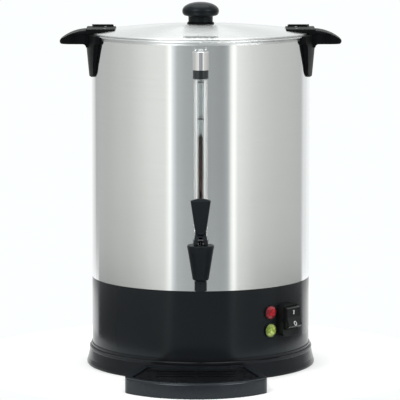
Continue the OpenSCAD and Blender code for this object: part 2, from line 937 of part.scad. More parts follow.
module coffee_basket() {
    hole_r = 1.6;
    rim_h = 2;
    color(steel)
        difference() {
            rotate_extrude() {
                translate([basket_r - pump_wall, basket_z])
                    square([pump_wall, basket_h]);
                translate([basket_r - pump_wall, basket_top_z - rim_h])
                    square([pump_wall + 1.2, rim_h]);
                translate([sleeve_in_r, basket_z])
                    square([basket_r - sleeve_in_r, pump_wall]);
                translate([sleeve_in_r, basket_z])
                    square([pump_wall, basket_h - 6]);
            }
            for (ring = [1 : basket_rings])
                let (r = sleeve_r + ring * (basket_r - sleeve_r) / (basket_rings + 1))
                    let (n = 6 * ring + 4)
                        for (i = [0 : n - 1])
                            rotate([0, 0, i * 360 / n])
                                translate([r, 0, basket_z - 1])
                                    cylinder(r = hole_r, h = pump_wall + 2, $fn = 16);
        }
}

module basket_lid() {
    hole_r = 1.6;
    lid_r = basket_r - pump_wall - 0.6;
    dish = 5;
    color(steel)
        difference() {
            rotate_extrude()
                polygon([
                    [sleeve_r + gap, basket_top_z - dish], [lid_r - 6, basket_top_z - dish],
                    [lid_r - 1, basket_top_z + gap], [basket_r + 1.2, basket_top_z + gap],
                    [basket_r + 1.2, basket_top_z + gap + pump_wall],
                    [lid_r - 1.6, basket_top_z + gap + pump_wall],
                    [lid_r - 6.6, basket_top_z - dish + pump_wall],
                    [sleeve_r + gap, basket_top_z - dish + pump_wall]
                ]);
            for (ring = [1 : 3])
                let (r = sleeve_r + ring * (lid_r - 6 - sleeve_r) / 4)
                    let (n = 6 * ring)
                        for (i = [0 : n - 1])
                            rotate([0, 0, i * 360 / n])
                                translate([r, 0, basket_top_z - dish - 1])
                                    cylinder(r = hole_r, h = pump_wall + 2, $fn = 16);
        }
}

// ---- level gauge ----

module gauge_glass() {
    color([0.85, 0.92, 0.95, 0.4])
        translate([0, gauge_y, glass_z])
            tube(glass_r, glass_in_r, glass_top_z - glass_z);
}

module gauge_guard() {
    color([0.9, 0.95, 0.98, 0.3])
        translate([0, gauge_y, guard_z])
            tube(guard_r, guard_r - guard_wall, cap_ring_z + 6 - guard_z);
}

module gauge_ring() {
    color(black)
        translate([0, gauge_y, cap_ring_z])
            difference() {
                cylinder(r = cap_r + 0.2, h = cap_ring_h);
                translate([0, 0, -1])
                    cylinder(r = guard_r + 0.1, h = 7.1);
                cylinder(r = glass_r + 0.1, h = cap_ring_h + 1);
            }
}

module gauge_cap() {
    top_r = cap_r + 0.6;
    color(steel)
        difference() {
            union() {
                translate([0, gauge_y, cap_z]) {
                    cylinder(r = cap_r, h = cap_h - 1.6);
                    translate([0, 0, cap_h - 1.6])
                        cylinder(r = top_r, h = 1);
                    translate([0, 0, cap_h - 0.6])
                        cylinder(r1 = top_r, r2 = top_r - 0.6, h = 0.6);
                }
                translate([0, 0, gauge_stud_z]) {
                    bar_y(gauge_stud_r, gauge_y, -tank_r + 8);
                    bar_y(gauge_stud_r + 2, gauge_y, -tank_r - gap);
                }
            }
            translate([0, gauge_y, cap_z - 1])
                cylinder(r = glass_r + 0.1, h = glass_top_z - cap_z + 2.2);
        }
}

module gauge_seals() {
    color(rubber_grey) {
        translate([0, gauge_y, glass_top_z + 0.05])
            tube(glass_r, glass_in_r, 1);
        translate([0, gauge_y, glass_z - 1.25])
            tube(glass_r, glass_in_r, 1.2);
    }
}

module gauge_nut() {
    inner_y = -tank_in_r + 0.3;
    color(steel)
        translate([0, 0, gauge_stud_z])
            difference() {
                translate([0, inner_y, 0])
                    rotate([-90, 0, 0])
                        cylinder(r = 6, h = 4, $fn = 6);
                bar_y(gauge_stud_r + run_gap, inner_y - 1, inner_y + 6);
            }
}

// ---- tap ----

module tap_body() {
    nut_end_y = -tank_r + 14;
    flange_y = -tank_r - gap - washer_t;
    color(black)
        difference() {
            union() {
                // tapered body, groove and spout
                translate([0, tap_y, 0])
                    rotate_extrude()
                        polygon([
                            [0, tap_foot_z], [tap_foot_r - 1.5, tap_foot_z],
                            [tap_foot_r, tap_foot_z + 1.5], [tap_top_r - 0.4, tap_top_z],
                            [0, tap_top_z]
                        ]);
                translate([0, tap_y, tap_foot_z - spout_h])
                    cylinder(r = spout_r, h = spout_h + 1);
                translate([0, 0, shank_z]) {
                    bar_y(shank_r, tap_y, nut_end_y);
                    bar_y(flange_r, flange_y - 3, flange_y);
                }
                translate([0, gauge_y, shank_z])
                    cylinder(r = boss_gauge_r, h = gauge_boss_z - shank_z);
            }
            translate([0, tap_y, seat_z])
                cylinder(r = chamber_r, h = tap_body_h);
            translate([0, tap_y, tap_foot_z - spout_h - 1])
                cylinder(r = spout_bore_r, h = spout_h + 30);
            translate([0, 0, shank_z])
                bar_y(shank_bore_r, tap_y, nut_end_y + 1);
            translate([0, gauge_y, shank_z])
                cylinder(r = 2.5, h = gauge_boss_z);
            translate([0, gauge_y, glass_z - 1.3])
                cylinder(r = glass_r + 0.1, h = gauge_boss_z);
            translate([0, gauge_y, guard_z])
                tube(guard_r + 0.1, guard_r - guard_wall - 0.1, gauge_boss_z);
            // groove above the spout
            translate([0, tap_y, tap_foot_z - 1.6])
                tube(spout_r + 1, spout_r - 0.7, 1.6);
        }
}

module tap_bonnet() {
    color(black)
        translate([0, tap_y, 0])
            difference() {
                union() {
                    translate([0, 0, tap_top_z])
                        rotate_extrude()
                            polygon([
                                [0, 0], [tap_top_r, 0], [tap_top_r + 0.1, bonnet_h - 0.8],
                                [tap_top_r - 0.7, bonnet_h], [0, bonnet_h]
                            ]);
                    translate([0, 0, bonnet_skirt_z])
                        cylinder(r = chamber_r - run_gap, h = tap_top_z - bonnet_skirt_z + 0.5);
                }
                translate([0, 0, bonnet_skirt_z - 1])
                    cylinder(r = spring_room_r, h = spring_top_z - bonnet_skirt_z + 1);
                translate([0, 0, spring_top_z - 1])
                    cylinder(r = stem_r + run_gap, h = bonnet_h + 4);
            }
}

// The foot of the lever rolls on the bonnet as it is pulled: each point of the nose
// is placed so that the lift grows evenly with the angle
function nose_point(a) =
    let (p = lever_drop + roll_rate * a * PI / 180)
        [-p * sin(a) - roll_rate * cos(a), -p * cos(a) + roll_rate * sin(a)];

module lever_side() {
    nose = [for (a = [0 : 4 : lever_pull + 8]) nose_point(a)];
    half = lever_depth / 2;
    polygon(concat(
        nose,
        [[-half, -3.6], [-half + 0.6, 1], blade_low, blade_high,
         [-lever_h * sin(lever_lean) - 3.2, lever_h],
         [-lever_h * sin(lever_lean) + 1.4, lever_h + 0.4],
         [-lever_h * sin(lever_lean) + 2.8, lever_h - 2],
         [lean_y + 4.6, shoulder_h], [half - 3, 2], [half - 1.6, -3.6],
         [half - 3.4, -lever_drop]]
    ));
}

module lever_front() {
    neck_z = 10.5;
    arch = [for (i = [0 : 8])
        let (t = -1 + i / 4)
            [-t * lever_w / 2, lever_h - 2.6 * t * t + 0.4]];
    polygon(concat(
        [[-lever_foot_w / 2, -lever_drop - 1], [lever_foot_w / 2, -lever_drop - 1],
         [lever_foot_w / 2, -3], [lever_neck_w / 2 + 0.4, 6],
         [lever_neck_w / 2, neck_z]],
        arch,
        [[-lever_neck_w / 2, neck_z], [-lever_neck_w / 2 - 0.4, 6], [-lever_foot_w / 2, -3]]
    ));
}

// Cuts that leave the lever's front face as a V, with a notch at its foot
module lever_bevels() {
    reach = 20;
    blade_l = norm(blade_high - blade_low);
    lean = atan2(blade_low[0] - blade_high[0], blade_high[1] - blade_low[1]);
    spread = atan2((lever_w - blade_foot_w) / 2, blade_l);
    for (side = [-1, 1])
        scale([side, 1, 1]) {
            translate([blade_foot_w / 2, blade_low[0], blade_low[1]])
                rotate([lean, 0, 0])
                    rotate([0, spread, 0])
                        rotate([0, 0, 45])
                            translate([-reach, -reach, -1.5])
                                cube([2 * reach, reach, blade_l + reach]);
            translate([lever_foot_w / 2 - 3, -lever_depth / 2, -lever_drop - 2])
                rotate([0, 0, 45])
                    translate([-reach, -reach, 0])
                        cube([2 * reach, reach, lever_drop + shoulder_h - 0.5]);
        }
    translate([0, blade_low[0] - 1.1, blade_low[1] - 3])
        rotate([45, 0, 0])
            cube([blade_foot_w, 3.4, 3.4], center = true);
}

module tap_lever() {
    color(black)
        translate([0, tap_y, pin_z])
            difference() {
                intersection() {
                    rotate([90, 0, 90])
                        linear_extrude(2 * lever_w, center = true)
                            lever_side();
                    translate([0, 2 * lever_depth, 0])
                        rotate([90, 0, 0])
                            linear_extrude(4 * lever_depth)
                                lever_front();
                }
                // keyhole that straddles the valve stem
                translate([0, lever_depth, 0])
                    rotate([90, 0, 0])
                        linear_extrude(2 * lever_depth) {
                            translate([-lever_slot_w / 2, -lever_drop - 2])
                                square([lever_slot_w, lever_drop + 3.2]);
                            translate([0, 1.2])
                                circle(r = lever_slot_w / 2, $fn = 48);
                        }
                lever_bevels();
                bar_x(lever_pin_r + 0.03, -lever_foot_w, lever_foot_w);
            }
}

module lever_pin() {
    color(steel)
        translate([0, tap_y, pin_z])
            bar_x(lever_pin_r, -lever_foot_w / 2 + 0.3, lever_foot_w / 2 - 0.3);
}

module tap_stem() {
    eye_w = lever_slot_w - 1.9;
    eye_r = 3.4;
    color(steel)
        translate([0, tap_y, 0])
            difference() {
                union() {
                    translate([0, 0, seat_z + 3])
                        cylinder(r = stem_r, h = pin_z - seat_z - 4);
                    translate([0, 0, collar_z])
                        cylinder(r = 6.6, h = 1.2);
                    intersection() {
                        translate([0, 0, pin_z])
                            bar_x(eye_r, -eye_w / 2, eye_w / 2);
                        translate([0, 0, pin_z])
                            cube([eye_w, 2 * eye_r, 2 * eye_r], center = true);
                    }
                }
                translate([0, 0, pin_z])
                    bar_x(lever_pin_r + run_gap, -eye_w, eye_w);
            }
}

module seat_cup() {
    cup_r = 8.4;
    color([0.85, 0.85, 0.82])
        translate([0, tap_y, seat_z + 0.1])
            difference() {
                rotate_extrude()
                    polygon([
                        [0, 0], [cup_r - 1, 0], [cup_r, 1.2], [4.4, 5.4], [4, 8], [0, 8]
                    ]);
                translate([0, 0, 2.8])
                    cylinder(r = stem_r + 0.02, h = 8);
            }
}

// One unbroken wire: each curl has 8 rings of 6 points
function coil_point(i) =
    let (turn = i / curl_steps)
        let (z = spring_foot_z + (spring_head_z - spring_foot_z) * turn / spring_curls)
            [spring_r * cos(360 * turn), spring_r * sin(360 * turn), z];

coil_count = spring_curls * curl_steps;
coil_pitch = (spring_head_z - spring_foot_z) / spring_curls;
echo(least_gap_between_curls = coil_pitch - spring_wire);

module tap_spring() {
    points = [for (i = [0 : coil_count], s = [0 : wire_sides - 1])
        let (c = coil_point(i), a = 360 * i / curl_steps, w = s * 360 / wire_sides)
            [
                c[0] + spring_wire / 2 * cos(w) * cos(a),
                c[1] + spring_wire / 2 * cos(w) * sin(a),
                c[2] + spring_wire / 2 * sin(w)
            ]];
    sides = [for (i = [0 : coil_count - 1], s = [0 : wire_sides - 1])
        let (n = (s + 1) % wire_sides, b = i * wire_sides, t = (i + 1) * wire_sides)
            each [[b + s, b + n, t + n], [b + s, t + n, t + s]]];
    first = [for (s = [1 : wire_sides - 2]) [0, s + 1, s]];
    last_i = coil_count * wire_sides;
    last = [for (s = [1 : wire_sides - 2]) [last_i, last_i + s, last_i + s + 1]];
    color(steel)
        translate([0, tap_y, 0])
            polyhedron(points, concat(sides, first, last));
}

module tap_washers() {
    inner_y = -sqrt(pow(tank_in_r, 2) - pow(flange_r, 2)) + 0.1;
    color([0.8, 0.3, 0.2])
        translate([0, 0, shank_z])
            for (y = [-tank_r - gap - washer_t + 0.1, inner_y])
                difference() {
                    bar_y(flange_r, y, y + washer_t);
                    bar_y(shank_r + 0.1, y - 1, y + washer_t + 1);
                }
}

module tap_nut() {
    inner_y = -sqrt(pow(tank_in_r, 2) - pow(flange_r, 2)) + 0.2 + washer_t;
    color(steel)
        translate([0, 0, shank_z])
            difference() {
                translate([0, inner_y, 0])
                    rotate([-90, 0, 0])
                        cylinder(r = shank_r + 5, h = 6, $fn = 6);
                bar_y(shank_r + run_gap, inner_y - 1, inner_y + 8);
            }
}

// ---- controls ----

module switch_housing() {
    color(black)
        round_band(switch_angle, control_z)
            difference() {
                union() {
                    difference() {
                        translate([0, -tank_r + 6, 0])
                            rotate([90, 0, 0])
                                linear_extrude(switch_proud + 6)
                                    rounded_rect(switch_w, switch_h, 6);
                        translate([0, 0, -switch_h])
                            cylinder(r = tank_r + 0.1, h = 2 * switch_h, $fn = 180);
                    }
                    translate([
                        -rocker_w / 2 - rocker_wall, -tank_r - 4,
                        rocker_rise - rocker_h / 2 - rocker_wall
                    ])
                        cube([
                            rocker_w + 2 * rocker_wall, switch_depth + 4,
                            rocker_h + 2 * rocker_wall
                        ]);
                }
                translate([
                    -rocker_w / 2 - gap, -switch_face_r - 1, rocker_rise - rocker_h / 2 - gap
                ])
                    cube([rocker_w + 2 * gap, 18, rocker_h + 2 * gap]);
            }
}

// The rocker seen from the side: a shallow V with round ends about its pin, so that
// the pressed half lies level with the surround's face
module rocker_side() {
    face = switch_face_r + rocker_proud - rocker_pivot_r;
    tip_a = asin(face / rocker_end_r) + rocker_tilt;
    ends = [for (i = [0 : 8])
        let (a = tip_a - i * (tip_a + 20) / 8)
            [rocker_end_r * cos(a), rocker_end_r * sin(a)]];
    polygon(concat(
        [[0, face]], ends, [[6, -7], [-6, -7]],
        [for (i = [len(ends) - 1 : -1 : 0]) [-ends[i][0], ends[i][1]]]
    ));
}

module rocker() {
    // the upper half is pressed in: the switch is on
    color(black)
        round_band(switch_angle, rocker_z)
            translate([0, -rocker_pivot_r, 0])
                rotate([-rocker_tilt, 0, 0])
                    yz_extrude(-rocker_w / 2, rocker_w / 2)
                        rotate(90)
                            rocker_side();
}

module lamp_bodies() {
    body_in_r = tank_r - lamp_reach;
    color(black)
        for (z = lamp_z)
            round_band(lamp_angle, z)
                difference() {
                    union() {
                        difference() {
                            bar_y(lamp_r, -tank_r - 2, -tank_r + 3);
                            translate([0, 0, -20])
                                cylinder(r = tank_r + 0.1, h = 40, $fn = 180);
                        }
                        bar_y(lens_r + 0.8, -tank_r - 1, -tank_r + 10);
                        bar_y(lens_r - 2.2, -tank_r + 9, -body_in_r);
                    }
                    bar_y(lens_r + 0.1, -tank_r - 3, -tank_r + 6);
                }
}

module lens(z, tint) {
    color(tint)
        round_band(lamp_angle, z)
            translate([0, -tank_r, 0])
                rotate([90, 0, 0]) {
                    translate([0, 0, -5])
                        cylinder(r = lens_r, h = 7);
                    translate([0, 0, 2])
                        cylinder(r1 = lens_r, r2 = lens_r - 3, h = 2.6, $fn = 8);
                }
}

module red_lens() {
    lens(lamp_z[0], [0.8, 0.1, 0.15]);
}

module green_lens() {
    lens(lamp_z[1], [0.6, 0.75, 0.3]);
}

module power_inlet() {
    wall = 1.8;
    proud = 2.5;
    depth = 17;
    pins = [[-7, -2], [7, -2], [0, 2]];
    color(black)
        round_band(180, inlet_z) {
            difference() {
                union() {
                    difference() {
                        translate([0, -tank_r + 6, 0])
                            rotate([90, 0, 0])
                                linear_extrude(proud + 6)
                                    rounded_rect(inlet_w + 14, inlet_h + 4, 3);
                        translate([0, 0, -inlet_h])
                            cylinder(r = tank_r + 0.1, h = 2 * inlet_h, $fn = 180);
                    }
                    translate([-inlet_w / 2, -tank_r - 1, -inlet_h / 2])
                        cube([inlet_w, depth + 4, inlet_h]);
                }
                translate([-inlet_w / 2 + wall, -tank_r - proud - 1, -inlet_h / 2 + wall])
                    cube([inlet_w - 2 * wall, depth + proud + 1, inlet_h - 2 * wall]);
            }
            for (p = pins)
                translate([p[0] - 1, -tank_r + 3, p[1] - 2])
                    cube([2, depth, 4]);
            // tabs that the inner wires push on to
            for (p = pins)
                translate([p[0] - 0.4, -tank_r + depth + 2, p[1] - 2])
                    cube([0.8, 8, 4]);
        }
}

// ---- heating and wiring under the tank ----

module main_heater() {
    coil_r = 50;
    wire_r = 4;
    under_z = floor_z - tank_wall - gap;
    color(charcoal)
        union() {
            translate([0, 0, under_z - wire_r - 1])
                rotate([0, 0, 20])
                    rotate_extrude(angle = 320)
                        translate([coil_r, 0])
                            circle(r = wire_r, $fn = 32);
            for (a = [20, 340])
                rotate([0, 0, a])
                    translate([coil_r, 0, under_z - wire_r - 17])
                        cylinder(r = wire_r - 1, h = 16);
            translate([0, 0, under_z - 3])
                tube(coil_r + 10, well_r + 2, 3);
        }
}

module warm_heater() {
    color(steel)
        translate([0, 0, well_floor_z])
            tube(well_r + 1.6, well_r + 0.1, well_depth - 6);
}

module heater_clamp() {
    color(steel)
        translate([0, 0, well_floor_z - tank_wall - gap - 2]) {
            cylinder(r = well_r - 4, h = 2);
            translate([0, 0, -8])
                cylinder(r = 5, h = 8);
        }
}

module thermostats() {
    under_z = floor_z - tank_wall - gap;
    color([0.85, 0.85, 0.8])
        for (a = [150, 210])
            rotate([0, 0, a])
                translate([sensor_ring_r, 0, under_z - thermostat_h]) {
                    cylinder(r = 8, h = thermostat_h);
                    for (y = [-5, 5])
                        translate([-0.4, y - 2, -6])
                            cube([0.8, 4, 6.5]);
                }
}

module thermal_fuse() {
    under_z = floor_z - tank_wall - gap;
    color([0.9, 0.88, 0.8])
        translate([0, sensor_ring_r, under_z - 3]) {
            bar_x(3, -9, 9);
            bar_x(0.8, -16, 16);
        }
}

module terminal_block() {
    color([0.9, 0.9, 0.88])
        translate([0, terminal_y, ledge_z + 0.2])
            difference() {
                translate([-20, -terminal_half, 0])
                    cube([40, 2 * terminal_half, 14]);
                for (x = [-14 : 7 : 14])
                    translate([x, 0, 6])
                        cylinder(r = 2, h = 10, $fn = 24);
            }
}

function middle(a, b) = (a + b) / 2;

// A smooth line that rounds the corners of a route
function rounded_route(p) = concat(
    [p[0]],
    [for (i = [1 : len(p) - 2], t = [0 : 4])
        let (a = middle(p[i - 1], p[i]), c = middle(p[i], p[i + 1]), u = t / 4)
            (1 - u) * (1 - u) * a + 2 * u * (1 - u) * p[i] + u * u * c],
    [p[len(p) - 1]]
);

function unit(v) = v / norm(v);

// Ring of points round a line that runs along d
function ring_at(c, d, r, sides) =
    let (x = unit(cross(d, abs(d[0]) > 0.9 ? [0, 1, 0] : [1, 0, 0])), y = cross(d, x))
        [for (s = [0 : sides - 1])
            let (a = 360 * s / sides) c + r * cos(a) * x + r * sin(a) * y];

// One insulated wire along a route
module wire(route) {
    wire_r = 1.1;
    sides = 8;
    path = rounded_route(route);
    n = len(path);
    points = [for (i = [0 : n - 1])
        let (d = unit(path[min(i + 1, n - 1)] - path[max(i - 1, 0)]))
            each ring_at(path[i], d, wire_r, sides)];
    walls = [for (i = [0 : n - 2], s = [0 : sides - 1])
        let (b = i * sides, t = b + sides, m = (s + 1) % sides)
            each [[b + s, t + s, t + m], [b + s, t + m, b + m]]];
    start = [for (s = [1 : sides - 2]) [0, s, s + 1]];
    end_i = (n - 1) * sides;
    end = [for (s = [1 : sides - 2]) [end_i, end_i + s + 1, end_i + s]];
    polyhedron(points, concat(walls, start, end));
}

function round_at(r, a, z) = [r * sin(a), -r * cos(a), z];

module wiring_loom() {
    tab_y = tank_r - 27.3;
    front_y = terminal_y - terminal_half - gap;
    back_y = terminal_y + terminal_half + gap;
    pin_z = floor_z - tank_wall - gap - 21.2;
    tab_z = floor_z - tank_wall - gap - 15.2;
    switch_in_r = tank_r - switch_depth;
    color([0.7, 0.2, 0.15]) {
        wire([
            [-14, front_y, 12], [-14, front_y - 10, 12], [-20, 50, 60], [20, 30, 80],
            [47, 17, pin_z - 8], [47, 17, pin_z]
        ]);
        wire([
            [-7, front_y, 12], [-7, front_y - 10, 12], [-50, 20, 70], [-65, 43, tab_z - 12],
            [-65, 43, tab_z]
        ]);
        wire([
            [14, front_y, 12], [14, front_y - 10, 12], [70, 20, 40],
            round_at(switch_in_r - 14, switch_angle, rocker_z),
            round_at(switch_in_r - gap, switch_angle, rocker_z)
        ]);
        for (x = [-7, 7])
            wire([
                [x, tab_y, inlet_z - 2], [x, back_y + 6, inlet_z - 2],
                [x, back_y + 6, 14], [x, back_y, 14]
            ]);
    }
}

// ---- drip tray ----

// The tray's outline from above, drawn in by a margin
module tray_outline(inset) {
    corner_x = tray_w / 2 - tray_corner_r;
    corner_dy = sqrt(pow(tray_arc_r - tray_corner_r, 2) - pow(corner_x, 2));
    // the sides start a hair inside the corners' rounds, so that the faces meet cleanly
    side_r = tray_corner_r - inset - 0.02;
    side_x = corner_x + side_r * cos(tray_lean);
    side_y = side_r * sin(tray_lean) - corner_dy;
    back_x = side_x - (-tray_arc_y - side_y) * tan(tray_lean);
    difference() {
        translate([0, tray_arc_y])
            union() {
                intersection() {
                    circle(r = tray_arc_r - inset, $fn = 180);
                    polygon([[0, 0], [-2 * corner_x, -2 * corner_dy], [2 * corner_x, -2 * corner_dy]]);
                }
                for (side = [-1, 1])
                    translate([side * corner_x, -corner_dy])
                        circle(r = tray_corner_r - inset, $fn = 48);
                polygon([
                    [side_x, side_y], [back_x, -tray_arc_y], [-back_x, -tray_arc_y],
                    [-side_x, side_y], [-corner_x, -corner_dy], [corner_x, -corner_dy]
                ]);
            }
        circle(r = tray_back_r + inset, $fn = 180);
    }
}

module drip_tray() {
    well = tray_rim + tray_step;
    edge = [for (i = [1 : 5])
        let (a = i * 90 / 5)
            [tray_arc_r - tray_edge_r * (1 - cos(a)), tray_h - tray_edge_r * (1 - sin(a))]];
    color(charcoal)
        translate([-tray_shift, 0, 0])
            difference() {
                intersection() {
                    linear_extrude(tray_h + 1)
                        tray_outline(0);
                    translate([0, tray_arc_y, 0])
                        rotate_extrude($fn = 180)
                            polygon(concat(
                                [
                                    [0, -1], [tray_arc_r + 2, -1],
                                    [tray_arc_r + 2, tray_h - 2 * tray_edge_r]
                                ],
                                edge, [[0, tray_h]]
                            ));
                }
                // seat of the grille, and the well for the drips
                translate([0, 0, grille_z - gap])
                    linear_extrude(tray_h)
                        tray_outline(tray_rim);
                translate([0, 0, tray_floor_t])
                    linear_extrude(tray_h)
                        tray_outline(well);
                // hollow under the rim
                translate([0, 0, -1])
                    linear_extrude(tray_h - tray_wall + 1)
                        difference() {
                            tray_outline(tray_wall);
                            tray_outline(tray_rim - tray_wall);
                        }
            }
}

module drip_grille() {
    rib = 4;
    ring_r = tray_arc_r - tray_rim - 9;
    ring_step = grille_hole_pitch / ring_r * 180 / PI;
    color(black)
        translate([-tray_shift, 0, grille_z])
            difference() {
                linear_extrude(grille_t)
                    tray_outline(tray_rim + gap);
                translate([0, 0, -1])
                    linear_extrude(grille_t + 2)
                        for (side = [-1, 1], row = [0 : 2])
                            translate([side * rib / 2, -tray_back_r - tray_rim - 14 - row * grille_pitch])
                                scale([side, 1]) {
                                    translate([0, -grille_slot_w / 2])
                                        square([grille_slot_l, grille_slot_w]);
                                    translate([grille_slot_l + 10, 0])
                                        circle(r = grille_hole_r, $fn = 24);
                                }
                // round holes along the front
                for (i = [-5 : 5])
                    translate([0, tray_arc_y, -1])
                        rotate([0, 0, i * ring_step])
                            translate([0, -ring_r, 0])
                                cylinder(r = grille_hole_r, h = grille_t + 2, $fn = 24);
            }
}

tank();
base_band();
base_skirt();
base_plate();
feet();
base_screws();
tie_rods();
handle_left();
handle_right();
handle_screws();
lid_shell();
lid_knob();
knob_collar();
knob_screw();
lid_lugs();
lug_rivets();
pump_tube();
pump_foot();
pump_valve();
coffee_basket();
basket_lid();
gauge_glass();
gauge_guard();
gauge_cap();
gauge_ring();
gauge_seals();
gauge_nut();
tap_body();
tap_bonnet();
tap_lever();
lever_pin();
tap_stem();
seat_cup();
tap_spring();
tap_washers();
tap_nut();
switch_housing();
rocker();
lamp_bodies();
red_lens();
green_lens();
power_inlet();
main_heater();
warm_heater();
heater_clamp();
thermostats();
thermal_fuse();
terminal_block();
wiring_loom();
drip_tray();
drip_grille();
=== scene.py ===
import json
import math

import bmesh
import bpy
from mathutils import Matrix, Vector
from mathutils.bvhtree import BVHTree


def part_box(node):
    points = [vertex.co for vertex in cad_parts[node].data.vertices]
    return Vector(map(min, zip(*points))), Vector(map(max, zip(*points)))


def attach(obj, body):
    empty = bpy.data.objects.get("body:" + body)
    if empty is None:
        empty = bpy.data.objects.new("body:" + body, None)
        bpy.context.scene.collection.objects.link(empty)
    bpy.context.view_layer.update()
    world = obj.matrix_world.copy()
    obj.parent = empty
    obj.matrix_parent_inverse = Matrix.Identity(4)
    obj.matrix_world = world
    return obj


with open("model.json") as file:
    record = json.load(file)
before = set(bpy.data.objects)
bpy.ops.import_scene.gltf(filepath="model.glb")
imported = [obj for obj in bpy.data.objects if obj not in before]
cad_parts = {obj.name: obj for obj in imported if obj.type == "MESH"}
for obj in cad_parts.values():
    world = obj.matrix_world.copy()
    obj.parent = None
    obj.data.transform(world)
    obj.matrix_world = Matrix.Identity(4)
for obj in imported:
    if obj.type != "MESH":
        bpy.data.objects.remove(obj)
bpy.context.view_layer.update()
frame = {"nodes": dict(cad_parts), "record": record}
nodes = frame["nodes"]
scene = bpy.context.scene
millimetre = 0.001
print("stage: frame loaded,", len(nodes), "nodes")


def addNode(tree, kind, settings=None, **values):
    node = tree.nodes.new(kind)
    for key, value in (settings or {}).items():
        setattr(node, key, value)
    for key, value in values.items():
        node.inputs[key].default_value = value
    return node


def newMaterial(name):
    mat = bpy.data.materials.new(name)
    mat.use_nodes = True
    tree = mat.node_tree
    return mat, tree, tree.nodes["Principled BSDF"]


def objectPoints(tree, stretch=(1, 1, 1)):
    # the point in the shared frame, stretched so that a texture gets its grain
    coord = addNode(tree, "ShaderNodeTexCoord")
    mapping = addNode(tree, "ShaderNodeMapping")
    mapping.inputs["Scale"].default_value = stretch
    tree.links.new(coord.outputs["Object"], mapping.inputs["Vector"])
    return mapping.outputs["Vector"]


def noiseOn(tree, points, scale, detail=2.0, rough=0.5):
    noise = addNode(tree, "ShaderNodeTexNoise", Scale=scale, Detail=detail, Roughness=rough)
    tree.links.new(points, noise.inputs["Vector"])
    return noise.outputs["Fac"]


def spread(tree, source, low, high, start=0.0, end=1.0):
    ranger = addNode(tree, "ShaderNodeMapRange")
    ranger.inputs["From Min"].default_value = start
    ranger.inputs["From Max"].default_value = end
    ranger.inputs["To Min"].default_value = low
    ranger.inputs["To Max"].default_value = high
    tree.links.new(source, ranger.inputs["Value"])
    return ranger.outputs["Result"]


def mixColor(tree, factor, first, second):
    # the mix node's sockets 6 and 7 take the two colours, and its output 2 gives the mixed one
    mix = addNode(tree, "ShaderNodeMix", {"data_type": "RGBA"})
    for socket, value in ((mix.inputs[6], first), (mix.inputs[7], second)):
        if isinstance(value, bpy.types.NodeSocket):
            tree.links.new(value, socket)
        else:
            socket.default_value = (*value[:3], 1)
    tree.links.new(factor, mix.inputs[0])
    return mix.outputs[2]


def fillRamp(ramp, stops):
    # stops: (place 0..1, brightness) pairs in rising order
    elements = ramp.color_ramp.elements
    while len(elements) > 1:
        elements.remove(elements[-1])
    for i, (place, tone) in enumerate(stops):
        element = elements[0] if i == 0 else elements.new(place)
        element.position = place
        element.color = (tone, tone, tone, 1)


def toLinear(color):
    # sRGB 0..255, as read, to scene values
    return tuple(c / 255 / 12.92 if c <= 10 else ((c / 255 + 0.055) / 1.055) ** 2.4 for c in color)


def shaded(color, factor):
    return tuple(min(1.0, c * factor) for c in color)


# pitch: degrees down from level; lens and sensor in millimetres
cameraSetup = {"place": (-0.0008, -3.744, 0.685), "pitch": 7.23, "lens": 263.34, "sensor": 36, "farthest": 60}


def makeCamera():
    data = bpy.data.cameras.new("camera")
    data.lens = cameraSetup["lens"]
    data.sensor_width = cameraSetup["sensor"]
    data.clip_end = cameraSetup["farthest"]
    camera = bpy.data.objects.new("camera", data)
    camera.location = cameraSetup["place"]
    camera.rotation_euler = (math.radians(90 - cameraSetup["pitch"]), 0, 0)
    scene.collection.objects.link(camera)
    scene.camera = camera


makeCamera()
print("stage: camera")


# rough: how dull the sheet is; stretch: how fine its grain is along each axis, where fine in
# height alone is brushing round the tank; grain: the grain's depth in millimetres; smudge: how
# much handling dulls it; tone: how far the colour drifts; rolled: between which heights a rolled
# rim starts, and how much duller it is below and above
metalLook = {
    "tankSteel": {"color": (228, 231, 231), "rough": 0.13, "stretch": (1.5, 1.5, 700), "grain": 0.010,
                  "smudge": 0.06, "anisotropy": 0.94, "tone": 0.035,
                  "rolled": (0.4190, 0.4203, 0.0, 0.34)},
    "lidSteel": {"color": (222, 224, 223), "rough": 0.26, "stretch": (60, 60, 60), "grain": 0.008,
                 "smudge": 0.12, "anisotropy": 0.85, "tone": 0.04,
                 "rolled": (0.4268, 0.4284, 0.24, 0.0)},
    "innerSteel": {"color": (206, 208, 209), "rough": 0.28, "stretch": (3, 3, 260), "grain": 0.02,
                   "smudge": 0.10, "anisotropy": 0.4, "tone": 0.08},
    "zincSteel": {"color": (186, 188, 190), "rough": 0.42, "stretch": (90, 90, 90), "grain": 0.05,
                  "smudge": 0.15, "anisotropy": 0.0, "tone": 0.14},
    "brightMetal": {"color": (226, 227, 228), "rough": 0.10, "stretch": (40, 40, 300), "grain": 0.01,
                    "smudge": 0.06, "anisotropy": 0.3, "tone": 0.04},
    "stemSteel": {"color": (120, 121, 123), "rough": 0.24, "stretch": (40, 40, 300), "grain": 0.01,
                  "smudge": 0.10, "anisotropy": 0.0, "tone": 0.08},
    "heaterAlloy": {"color": (150, 150, 150), "rough": 0.55, "stretch": (120, 120, 120), "grain": 0.10,
                    "smudge": 0.2, "anisotropy": 0.0, "tone": 0.25},
}
# between: the values of the noise over which the whole change takes place
metalGrain = {"scale": 6.0, "between": (0.3, 0.7), "strength": 0.25}
metalClouds = {"scale": 9.0, "between": (0.35, 0.75)}


